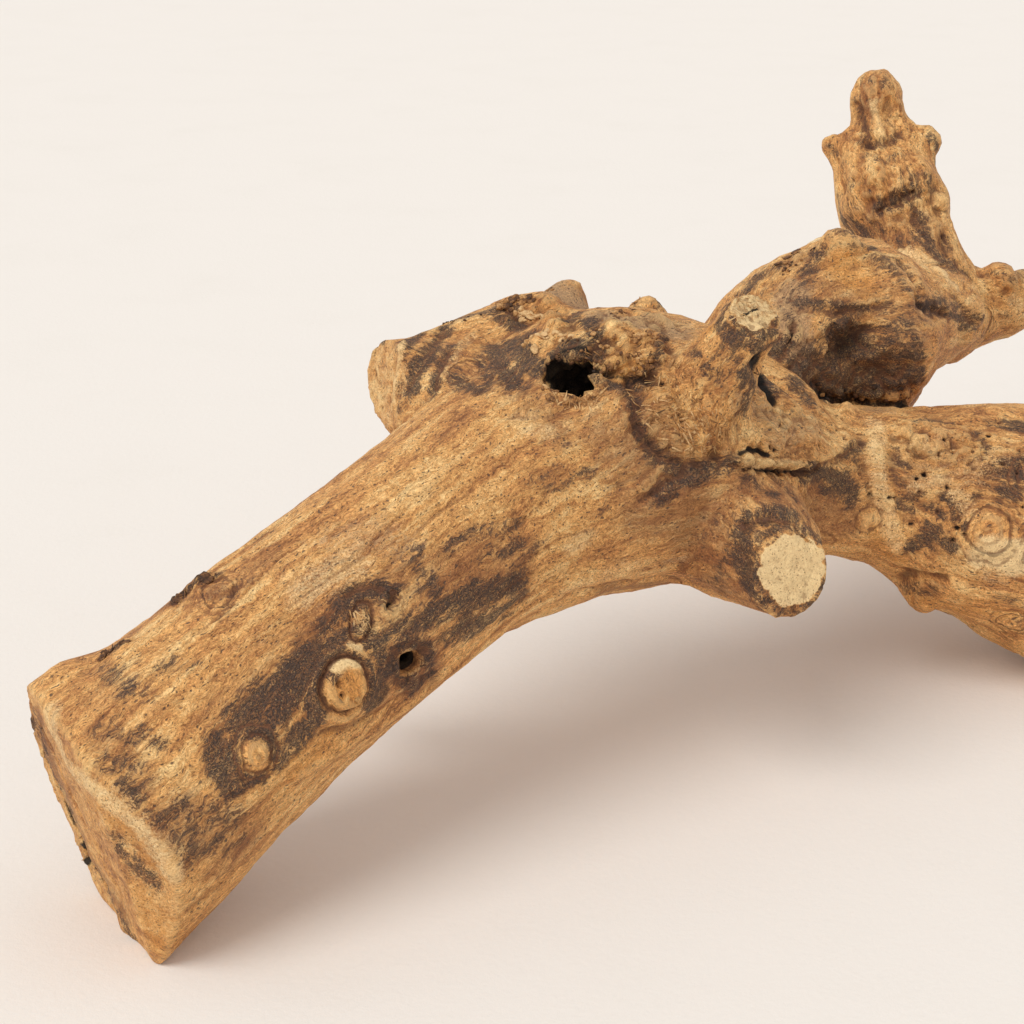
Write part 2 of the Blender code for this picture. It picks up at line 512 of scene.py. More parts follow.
# The patches of each mark: a half width in millimetres, how strong the patch is, and then the corners of
# its path over the photograph. A patch fades from its core to its end, both in half widths.
PATCH_CORE = 0.2
PATCH_END = 2.1
PATCH_REACH = 2.6
STROKES = {
    Mark.STAIN: (
        # The dark band from the sawn end up through the knots.
        (3.2, 0.95, (240, 718), (262, 700), (296, 680), (318, 655), (342, 632), (358, 612)),
        (2.6, 0.9, (252, 722), (280, 715), (300, 690)), (2.6, 0.95, (296, 738), (314, 722), (312, 696)),
        (2.4, 1.0, (262, 700), (284, 676), (306, 652)), (2.2, 0.9, (318, 680), (336, 645), (350, 625)),
        (1.9, 0.98, (340, 606), (354, 594), (372, 588), (392, 592)),
        (2.1, 0.95, (372, 640), (384, 660), (382, 690), (370, 706)),
        (2.2, 0.95, (216, 740), (218, 766), (232, 792)),
        (1.5, 1.0, (232, 744), (240, 732), (258, 728), (272, 738), (274, 756)),
        (1.3, 0.95, (230, 752), (234, 770), (246, 782), (262, 778)),
        (0.9, 0.9, (322, 674), (332, 659), (352, 655), (368, 666), (373, 688), (364, 706)),
        (1.8, 0.7, (226, 728), (244, 722), (266, 730)), (1.6, 0.7, (270, 742), (284, 752), (274, 766)),
        (2.2, 0.88, (386, 640), (406, 628), (430, 618)),
        (2.8, 0.9, (428, 616), (456, 606), (488, 592), (518, 580)),
        (2.4, 0.82, (446, 638), (474, 628), (508, 606), (520, 594)), (1.8, 0.6, (424, 640), (418, 652)),
        (1.9, 0.55, (400, 596), (410, 584), (430, 590)),
        (1.7, 0.75, (418, 570), (432, 578), (436, 590)), (1.4, 0.7, (402, 560), (418, 550)),
        (1.6, 0.62, (446, 548), (470, 534), (496, 528), (518, 524)),
        (1.5, 0.72, (482, 560), (500, 552), (520, 544)), (1.6, 0.5, (512, 570), (528, 560), (536, 548)),
        # Patches on the end part.
        (2.3, 0.60, (107, 668), (122, 682), (138, 702)),
        (1.7, 0.60, (162, 670), (178, 664), (194, 664)), (1.7, 0.58, (98, 732), (110, 726), (120, 720)),
        (1.9, 0.60, (128, 738), (146, 734), (160, 744)),
        (1.9, 0.60, (104, 762), (122, 766), (140, 768)),
        (2.0, 0.64, (122, 776), (128, 792), (136, 806)),
        (1.8, 0.64, (150, 824), (166, 816), (182, 806)),
        (2.8, 0.64, (184, 846), (196, 824), (214, 812), (236, 816)),
        (2.0, 0.64, (182, 866), (196, 856), (214, 846), (240, 842)),
        (1.9, 0.74, (112, 834), (126, 852), (138, 870), (154, 884)),
        (1.5, 0.42, (196, 902), (216, 886), (232, 872)),
        (1.6, 0.46, (186, 604), (206, 596), (230, 588), (256, 582)),
        (1.3, 0.62, (220, 616), (228, 604), (236, 592)),
        (1.5, 0.85, (176, 602), (194, 591), (214, 578)), (1.6, 0.5, (214, 560), (244, 544), (268, 534)),
        (1.2, 0.8, (104, 657), (114, 652), (127, 645)),
        # The horn's dark V and the patches between it and the hollow.
        (2.7, 1.0, (400, 390), (412, 372), (424, 356)), (1.8, 0.95, (424, 358), (434, 344), (446, 330)),
        (1.8, 0.92, (396, 408), (404, 398), (414, 388)),
        (1.8, 0.95, (400, 358), (406, 344), (420, 336)),
        (1.9, 0.88, (434, 390), (440, 366), (452, 348)),
        (2.0, 0.84, (454, 374), (464, 386), (484, 390)),
        (2.4, 0.95, (492, 346), (500, 364), (514, 384)),
        (1.6, 0.80, (478, 356), (486, 368), (488, 382)),
        (1.3, 0.90, (372, 346), (392, 338), (430, 326)),
        (2.6, 0.98, (508, 336), (520, 352), (532, 368)), (2.0, 0.9, (500, 318), (514, 326), (530, 338)),
        (1.5, 0.9, (500, 304), (512, 310), (520, 320)), (1.5, 0.80, (430, 326), (462, 318), (496, 310)),
        (1.4, 0.42, (540, 396), (556, 400), (566, 404)), (1.8, 1.0, (558, 352), (572, 346), (588, 350)),
        (1.6, 1.0, (590, 322), (596, 340), (600, 362)), (1.8, 0.9, (566, 322), (580, 314), (594, 306)),
        (1.5, 0.9, (602, 380), (624, 384), (646, 378)), (1.4, 0.9, (636, 300), (648, 298), (660, 304)),
        (1.5, 0.8, (664, 340), (658, 356), (648, 372)),
        # The middle, below the finger and round the knob.
        (1.9, 0.52, (532, 478), (556, 470), (590, 474)),
        (1.6, 0.50, (548, 488), (570, 486), (588, 478)),
        (1.5, 0.40, (540, 440), (560, 438), (582, 446)),
        (1.8, 0.40, (596, 520), (606, 510), (614, 500)),
        (2.0, 0.80, (634, 396), (638, 424), (652, 452), (676, 468)),
        (1.5, 0.80, (656, 502), (664, 490), (676, 484)),
        (2.0, 0.85, (670, 486), (700, 472), (726, 464)),
        (1.8, 0.74, (744, 482), (758, 488), (772, 498)),
        (1.6, 0.86, (656, 494), (666, 502), (674, 496)),
        (1.8, 0.55, (706, 540), (716, 526), (736, 516)),
        (2.2, 0.85, (744, 524), (770, 514), (796, 518)),
        (2.4, 0.82, (734, 548), (738, 530), (750, 520)), (2.8, 1.0, (740, 532), (738, 558), (750, 586)),
        (1.8, 0.72, (762, 592), (778, 602), (800, 610)),
        (1.5, 0.62, (768, 470), (790, 492), (806, 516)),
        (1.5, 0.50, (750, 488), (760, 494), (772, 498)),
        # The ledge, the saddle and the branch to the right.
        (2.2, 0.98, (802, 474), (822, 474), (846, 482), (852, 492)),
        (1.8, 0.85, (826, 488), (842, 494), (850, 500)),
        (1.6, 0.80, (836, 456), (850, 450), (864, 444)),
        (1.4, 0.55, (856, 462), (866, 478), (864, 492)),
        (1.8, 0.95, (910, 546), (924, 538), (936, 532)), (1.0, 0.75, (906, 507), (912, 509)),
        (1.5, 0.66, (926, 510), (938, 508), (944, 520)), (1.2, 0.72, (954, 510), (964, 526)),
        (1.5, 0.84, (946, 498), (958, 506), (956, 520)),
        (1.4, 0.84, (928, 526), (942, 540), (952, 548)),
        (1.2, 0.80, (898, 506), (912, 500), (922, 494)),
        (1.2, 0.76, (968, 552), (982, 562), (996, 566)),
        (1.1, 0.74, (912, 426), (924, 421), (938, 421)),
        (1.2, 0.74, (974, 436), (986, 446), (984, 458)),
        (1.1, 0.74, (896, 450), (900, 462), (910, 468)), (1.6, 0.95, (1003, 492), (1013, 492)),
        (1.0, 0.70, (972, 498), (978, 494)), (1.2, 0.62, (892, 472), (902, 484)),
        (1.8, 0.62, (898, 584), (912, 588), (934, 590)),
        (1.6, 0.50, (928, 548), (948, 558), (964, 562)), (1.4, 0.60, (996, 596), (1014, 600)),
        (1.3, 0.55, (988, 424), (1004, 422)), (1.2, 0.55, (940, 424), (952, 426)),
        (1.4, 0.45, (980, 480), (990, 470), (1000, 462)),
        # The finger.
        (1.8, 0.95, (738, 334), (750, 340), (762, 334)),
        (1.6, 0.66, (706, 366), (716, 376), (728, 372)),
        (1.2, 0.75, (712, 306), (722, 298), (732, 292)),
        (1.4, 0.70, (728, 330), (734, 346), (738, 360)),
        (2.6, 0.55, (716, 600), (722, 572), (730, 552)),
        (2.4, 0.80, (748, 548), (752, 574), (764, 596)),
        (1.6, 0.70, (702, 468), (714, 464), (726, 458)),
        (1.5, 0.62, (716, 356), (726, 350), (732, 338)), (1.0, 0.80, (693, 352), (700, 355)),
        (1.3, 0.66, (712, 314), (720, 302), (728, 298)),
        (1.4, 0.42, (704, 372), (722, 372), (734, 364)),
        # The burl.
        (1.8, 0.78, (800, 300), (828, 308), (862, 312), (888, 304)),
        (1.9, 0.78, (806, 270), (818, 256), (830, 244)),
        (2.0, 0.70, (838, 234), (862, 244), (884, 262), (904, 290)),
        (2.4, 0.55, (872, 256), (890, 272), (900, 288)), (1.6, 0.60, (800, 286), (812, 276)),
        (3.6, 1.0, (838, 336), (852, 330), (864, 340), (858, 356), (842, 366)),
        # These two darken the burl's lower side: its dark stain, and painted shade under it.
        (3.8, 1.0, (806, 382), (838, 384), (880, 380), (912, 370)),
        (4.4, 0.92, (806, 366), (836, 368), (870, 366), (904, 356)),
        (3.2, 0.80, (866, 348), (884, 338), (902, 330)),
        (2.4, 0.72, (822, 340), (812, 352), (800, 366)),
        (3.0, 0.55, (878, 350), (900, 340), (916, 326)),
        (2.6, 0.45, (884, 318), (898, 322), (912, 312)),
        (1.8, 0.55, (762, 286), (776, 280), (790, 292)),
        (2.2, 0.85, (924, 302), (944, 306), (966, 318)),
        (1.7, 0.62, (902, 262), (912, 276), (922, 290)),
        # The mast and the fork.
        (2.6, 0.66, (906, 176), (922, 180), (932, 190)), (1.6, 0.80, (914, 206), (918, 222)),
        (1.8, 0.66, (945, 236), (950, 256), (968, 274)),
        (1.9, 0.52, (842, 168), (848, 190), (856, 214)), (1.3, 0.70, (856, 98), (860, 118), (867, 136)),
        (1.6, 0.45, (862, 216), (884, 232), (906, 244)), (1.8, 0.45, (858, 180), (866, 196)),
        (2.4, 0.72, (958, 306), (970, 320), (980, 330)), (1.6, 0.50, (992, 322), (1008, 314)),
        (1.5, 0.62, (984, 276), (1000, 272), (1014, 280)),
        (1.5, 0.66, (856, 138), (872, 144), (902, 134)),
        (2.2, 0.90, (880, 206), (894, 200), (916, 192)),
        (2.4, 0.85, (846, 220), (860, 232), (872, 242)), (1.2, 0.80, (830, 146), (836, 154)),
        (1.2, 0.80, (932, 138), (938, 150)), (2.0, 0.80, (920, 232), (930, 250), (942, 262)),
        (1.6, 0.55, (866, 156), (884, 160), (902, 156)),
        (1.5, 0.95, (395, 674), (397, 652), (412, 642), (429, 651), (431, 675), (414, 688), (395, 674)),
        (1.8, 0.55, (838, 196), (846, 214), (852, 232)),
        (1.6, 0.55, (870, 222), (890, 240), (912, 248)), (1.4, 0.50, (864, 84), (876, 80), (890, 88)),
        # The rim and the face of the sawn end.
        (1.6, 0.70, (36, 715), (50, 762), (67, 806), (86, 850), (104, 884), (124, 918), (142, 950)),
        (2.5, 0.88, (118, 850), (130, 860), (142, 870), (152, 878)),
        # Painted shade in the holes and crevices, and between the finger and the burl, laid as stain.
        (2.4, 0.95, (776, 344), (770, 360), (778, 380), (792, 396)),
        (2.2, 0.85, (746, 372), (752, 392), (748, 410)),
        (2.4, 0.80, (792, 362), (800, 380), (814, 396)),
        (2.0, 0.85, (704, 322), (716, 312), (724, 304)),
        (2.2, 0.75, (738, 288), (752, 276), (770, 266)),
        (1.8, 0.68, (782, 306), (790, 318), (788, 346)),
    ),
    Mark.AMBER: (
        (2.4, 0.8, (606, 364), (624, 366), (642, 366)), (4.0, 0.95, (846, 268), (862, 284)),
        (2.4, 0.95, (700, 334), (712, 324)), (4.0, 0.75, (140, 898), (156, 930)),
        (2.0, 0.90, (90, 804), (128, 828), (168, 876)), (3.0, 0.70, (880, 530), (896, 556)),
        (4.0, 0.60, (260, 776), (300, 752), (330, 742)), (4.0, 0.50, (655, 390), (690, 430)),
        (4.0, 0.50, (470, 344), (486, 356)), (4.0, 0.60, (906, 598), (930, 604), (1000, 610)),
        (3.0, 0.40, (500, 340), (516, 330)), (4.0, 0.50, (980, 300), (1000, 310)),
    ),
    Mark.ROT_AND_SHADE: (
        # Painted shade, with the dark of rot: near black along the cracks, grooves and holes, in the gap
        # under the burl and under the ledge's lip.
        (0.9, 0.55, (562, 352), (574, 349), (588, 354)),
        (0.6, 0.45, (880, 209), (887, 204), (895, 203), (903, 197), (914, 192)),
        (2.4, 1.0, (554, 372), (570, 376), (580, 370)), (1.0, 1.0, (84, 850), (88, 860)),
        (2.0, 0.42, (838, 336), (850, 330), (862, 340), (850, 356)),
        (1.6, 0.85, (760, 362), (766, 380), (776, 396)),
        (0.3, 0.85, (744, 315), (750, 312), (757, 309)),
        (1.1, 0.56, (818, 392), (834, 400), (856, 399), (874, 406), (890, 402), (906, 403)),
        (0.5, 0.7, (734, 453), (750, 450), (764, 455)),
        (0.3, 0.65, (740, 468), (761, 471), (784, 471), (802, 472)),
        (0.8, 0.5, (598, 368), (620, 371), (646, 375)),
        (0.6, 0.42, (638, 400), (642, 428), (662, 456), (684, 465)),
        (0.5, 0.45, (742, 524), (770, 519), (796, 523), (812, 538)),
        (0.4, 0.55, (36, 736), (54, 780), (72, 822), (86, 850)), (0.8, 0.5, (924, 304), (942, 308)),
    ),
    Mark.FRESH: (
        (1.0, 0.5, (536, 342), (548, 337)), (0.9, 0.5, (516, 312), (528, 314)),
        (3.0, 0.44, (904, 408), (940, 404), (985, 400)), (2.4, 0.45, (920, 484), (938, 480)),
        (2.6, 0.40, (955, 492), (968, 512)), (3.0, 0.28, (1004, 564), (1020, 575)),
        (4.0, 0.44, (300, 592), (326, 574), (356, 562)),
        (2.6, 0.46, (876, 424), (876, 455), (879, 485), (887, 515), (895, 542)),
        (4.0, 0.34, (925, 462), (960, 478), (1000, 455)), (4.0, 0.30, (960, 560), (1000, 585)),
        (2.2, 0.48, (908, 258), (930, 268), (954, 288)),
        (2.4, 0.50, (50, 712), (62, 745), (74, 768), (96, 788), (118, 806)),
        (2.2, 0.50, (118, 806), (138, 824), (158, 848), (174, 878)),
        (2.4, 0.36, (560, 590), (620, 566), (680, 556)), (3.0, 0.38, (516, 420), (545, 430)),
        (2.6, 0.42, (572, 548), (590, 540)),
        (1.3, 0.42, (738, 460), (758, 464), (782, 464), (800, 466)),
        (1.0, 0.50, (395, 406), (398, 372), (404, 344)),
        (1.3, 0.40, (444, 376), (450, 360), (462, 346), (474, 338)),
        (0.9, 0.52, (348, 645), (358, 648)), (0.9, 0.66, (331, 669), (342, 662), (356, 664)),
        (2.6, 0.34, (900, 452), (930, 442), (950, 436)), (3.0, 0.40, (970, 408), (1000, 404)),
        (1.4, 0.44, (874, 104), (880, 132)), (2.0, 0.44, (1012, 300), (1020, 306)),
        (4.0, 0.26, (240, 640), (262, 620)),
    ),
    Mark.GNARL: (
        (5.0, 0.9, (770, 420), (800, 415), (840, 425)), (4.0, 0.7, (880, 440), (930, 430), (990, 430)),
        (4.0, 0.5, (800, 250), (830, 262), (870, 290)), (6.0, 0.6, (880, 330), (920, 350), (930, 380)),
        (9.0, 1.0, (880, 90), (880, 130), (885, 180), (900, 240)),
        (7.0, 0.9, (930, 270), (960, 300), (1000, 300)), (9.0, 0.7, (780, 330), (840, 370), (900, 380)),
        (9.0, 0.8, (920, 440), (960, 450), (1010, 450)), (8.0, 0.6, (920, 560), (1000, 560)),
        (6.0, 0.7, (760, 420), (840, 420)), (6.0, 0.9, (530, 310), (600, 340), (660, 330)),
    ),
    Mark.PITS: (
        (5.0, 0.7, (765, 412), (800, 428), (840, 440)),
        (6.0, 0.6, (845, 160), (880, 170), (930, 200), (940, 240)),
        (6.0, 0.9, (764, 436), (800, 430), (850, 430)), (8.0, 0.9, (910, 430), (950, 430), (1000, 440)),
        (8.0, 1.0, (905, 500), (950, 510), (1000, 490)), (5.0, 0.7, (775, 300), (790, 345), (800, 360)),
        (5.0, 0.8, (652, 385), (670, 410)), (6.0, 0.6, (870, 180), (910, 190)),
        (4.0, 0.7, (374, 360), (384, 392)), (3.0, 0.6, (740, 305), (764, 320)),
    ),
    Mark.CRUST: (
        (3.4, 0.8, (836, 336), (852, 330), (862, 344), (850, 360)),
        (3.0, 0.7, (806, 384), (850, 380), (905, 376)),
        (1.2, 0.5, (398, 668), (402, 652), (422, 652), (426, 672), (412, 682)),
        (3.6, 0.9, (522, 316), (544, 316), (566, 322)), (3.0, 0.9, (536, 336), (550, 334), (560, 340)),
        (5.0, 1.0, (598, 350), (620, 352), (648, 352)), (4.6, 0.9, (612, 326), (636, 314), (660, 326)),
        (4.0, 0.6, (660, 336), (672, 342)), (4.0, 0.7, (790, 366), (812, 384), (840, 390)),
        (4.0, 0.9, (826, 392), (850, 392), (880, 392), (908, 386)),
        (4.6, 0.6, (652, 392), (668, 420), (700, 440), (722, 436)),
        (3.0, 0.35, (680, 352), (700, 372), (712, 395)), (2.2, 0.7, (738, 460), (770, 462), (810, 462)),
        (3.0, 0.5, (758, 286), (790, 262), (815, 246)), (3.4, 0.7, (838, 326), (862, 326), (868, 350)),
        (3.6, 0.6, (900, 440), (935, 446), (970, 448)), (2.6, 0.6, (740, 298), (756, 308), (768, 322)),
        (1.8, 0.9, (178, 601), (194, 590), (212, 579)), (1.5, 0.8, (104, 657), (127, 645)),
        (1.8, 0.5, (372, 342), (395, 330), (430, 322), (470, 314)),
        (3.0, 0.5, (745, 400), (770, 405), (800, 410)), (3.6, 0.5, (862, 190), (900, 196), (924, 200)),
    ),
    Mark.UMBER: (
        # Red-brown wood.
        (8.0, 0.9, (640, 440), (665, 480), (700, 520), (720, 560)),
        (5.0, 0.7, (600, 430), (625, 470), (640, 510)), (5.0, 0.8, (740, 490), (790, 500), (840, 520)),
        (4.0, 0.6, (480, 370), (520, 390), (560, 430)),
        (5.0, 0.6, (230, 720), (300, 660), (350, 610), (440, 570), (520, 560)),
        (6.0, 0.7, (180, 830), (240, 840)), (4.0, 0.5, (110, 740), (140, 790)),
        (4.0, 0.4, (100, 690), (140, 700)), (5.0, 0.6, (800, 260), (840, 300), (900, 300)),
        (6.0, 0.6, (900, 340), (920, 310)), (5.0, 0.5, (905, 470), (960, 470), (1000, 470)),
        (5.0, 0.4, (930, 510), (960, 500)), (5.0, 0.6, (870, 220), (920, 230), (940, 250)),
        (3.0, 0.7, (700, 580), (720, 590), (750, 600)), (4.0, 0.5, (190, 600), (230, 590), (270, 560)),
        (2.4, 0.8, (600, 590), (650, 585), (690, 590)), (3.4, 0.4, (660, 350), (690, 360), (720, 380)),
        (2.6, 0.95, (395, 674), (397, 652), (412, 642), (429, 651), (431, 675), (414, 688)),
        (1.8, 0.80, (38, 715), (53, 762), (70, 806), (89, 850), (107, 884), (127, 918)),
    ),
    Mark.GREY: (
        # Grey weathered wood.
        (4.0, 0.9, (530, 296), (548, 290), (568, 296), (590, 312)),
        (4.0, 0.9, (606, 318), (640, 322), (670, 330)), (4.0, 0.85, (792, 290), (792, 330), (800, 362)),
        (3.4, 0.55, (770, 436), (790, 428), (830, 420)), (4.0, 0.5, (900, 330), (912, 348)),
        (3.0, 0.6, (744, 400), (770, 414)), (3.0, 0.6, (870, 410), (900, 408)),
        (4.0, 0.5, (330, 540), (370, 530), (400, 545)), (3.0, 0.5, (680, 330), (690, 318)),
    ),
}


@dataclass(frozen=True)
class Groove:
    """A groove along a path over the photograph, or a ridge where its depth is above zero.

    With a lip, the wood above the path stands up by the depth and falls away over the lip's width.
    """

    wide: float
    depth: float
    path: tuple[Pixel, ...]
    lip: float = 0.0


GROOVES = (
    # The rings round the rotted knot.
    Groove(0.35, -0.35, ((394, 676), (392, 660), (400, 646), (416, 644), (430, 654))),
    Groove(0.30, 0.30, ((389, 680), (386, 658), (396, 640), (418, 638), (434, 648))),
    # The neck of the mast.
    Groove(0.9, -1.0, ((856, 136), (868, 144), (886, 142), (902, 132))),
    Groove(0.9, -0.9, ((349, 594), (358, 588), (372, 586), (390, 592))),
    Groove(0.8, -0.7, ((322, 732), (349, 728), (384, 709), (407, 693))),
    Groove(1.6, 0.7, ((300, 772), (345, 748), (400, 712), (440, 680), (500, 632))),
    Groove(1.2, -0.8, ((511, 414), (551, 416), (595, 396))),
    Groove(1.6, -1.6, ((636, 386), (638, 424), (660, 455), (686, 466), (716, 458))),
    Groove(1.4, -2.0, ((594, 366), (620, 371), (650, 375))),
    Groove(0.7, -2.0, ((734, 468), (761, 471), (784, 471), (804, 473), (820, 467))),
    Groove(1.0, 1.5, ((734, 464), (761, 467), (784, 467), (804, 468), (822, 461), (850, 448)), 4.5),
    Groove(0.9, -1.2, ((730, 453), (750, 449), (768, 456))),
    Groove(1.2, -1.3, ((744, 526), (758, 520), (775, 518), (796, 523), (813, 540))),
    Groove(1.0, -0.6, ((765, 470), (790, 493), (806, 518))),
    Groove(2.0, -2.2, ((760, 364), (766, 384), (776, 398))),
    Groove(1.3, -0.9, (
        (816, 390), (834, 399), (856, 398), (874, 405), (890, 401), (904, 404), (916, 394),
    )),
    Groove(1.2, -1.0, ((800, 309), (830, 312), (868, 311), (888, 305))),
    Groove(1.5, 0.8, ((842, 236), (868, 250), (892, 270), (906, 294))),
    Groove(1.4, -2.0, ((920, 302), (932, 309), (946, 312))),
    Groove(2.4, 1.2, ((906, 258), (929, 268), (954, 288))),
    Groove(1.2, -1.4, ((902, 262), (912, 276), (922, 292))),
    Groove(0.8, -1.0, ((906, 444), (920, 455), (937, 460), (950, 468), (968, 464))),
    Groove(1.6, 1.0, ((904, 434), (922, 445), (940, 456), (962, 458), (974, 450))),
    Groove(1.0, 0.6, ((915, 436), (936, 432), (956, 440))),
    Groove(2.8, 0.6, ((872, 425), (877, 470), (888, 514), (898, 548))),
    Groove(1.6, -0.8, ((862, 440), (866, 470), (872, 500))),
    Groove(1.6, -0.8, ((892, 440), (896, 480), (906, 520))),
    Groove(0.9, 0.8, ((395, 406), (398, 372), (404, 344))),
    Groove(0.8, 0.6, ((441, 378), (448, 358), (460, 344), (476, 334))),
    Groove(1.2, -0.8, ((404, 388), (414, 370), (428, 352), (444, 331))),
    Groove(0.9, -0.7, ((436, 388), (440, 366), (450, 352))),
    Groove(0.7, -1.4, ((34, 730), (54, 779), (72, 820), (88, 856), (104, 884))),
    Groove(0.6, -0.6, ((42, 728), (62, 774), (80, 814), (104, 862), (126, 906))),
    Groove(0.6, -0.5, ((30, 704), (44, 764), (66, 824), (96, 880), (130, 934))),
    Groove(3.2, 0.6, ((48, 716), (62, 750), (84, 780), (116, 806), (140, 828), (162, 854), (178, 886))),
    Groove(1.6, -0.3, ((90, 806), (128, 836), (158, 876))),
    Groove(1.2, -1.0, ((856, 98), (860, 118), (868, 138))),
    Groove(1.4, 0.9, ((872, 84), (875, 104), (882, 136))),
    Groove(1.1, -0.8, ((884, 92), (884, 112), (889, 132))), Groove(1.0, -0.8, ((890, 96), (892, 122))),
    Groove(1.2, -1.0, ((862, 146), (880, 140), (900, 142))),
    Groove(1.2, -1.0, ((914, 200), (918, 224))),
    Groove(0.9, -1.3, ((878, 211), (887, 204), (895, 203), (903, 197), (915, 192))),
    Groove(0.8, -0.8, ((884, 214), (893, 220), (906, 218))),
    Groove(1.2, -1.0, ((945, 232), (950, 256), (972, 276))),
    Groove(1.2, -0.8, ((934, 186), (932, 200), (938, 214))),
    Groove(1.4, -1.0, ((958, 300), (970, 320), (982, 332))),
    Groove(1.1, -0.8, ((996, 282), (1006, 290))),
    Groove(1.0, -0.7, ((640, 500), (652, 494), (664, 480), (690, 474))),
    Groove(0.8, -0.5, ((620, 486), (640, 478), (652, 470))),
    Groove(1.1, -0.8, ((566, 594), (610, 582), (660, 578), (690, 584))),
    Groove(1.4, 0.7, ((560, 588), (610, 572), (660, 566), (692, 572))),
    Groove(0.8, -0.6, ((216, 618), (226, 604), (234, 588))),
    Groove(0.8, -0.5, ((206, 610), (220, 596), (240, 584))),
    Groove(1.3, -1.2, ((898, 580), (916, 574), (944, 578))),
    Groove(1.0, -1.0, ((700, 316), (716, 300), (730, 292))),
)


@dataclass(frozen=True)
class Lump:
    """A swelling of the wood, or a dent where its height is below zero, placed by the photograph.

    Its radius and height are in millimetres. It is stretched along a line that leans, in degrees, from
    the photograph's right towards its top.
    """

    at: Pixel
    radius: float
    height: float
    stretch: float = 1.0
    lean: float = 0.0


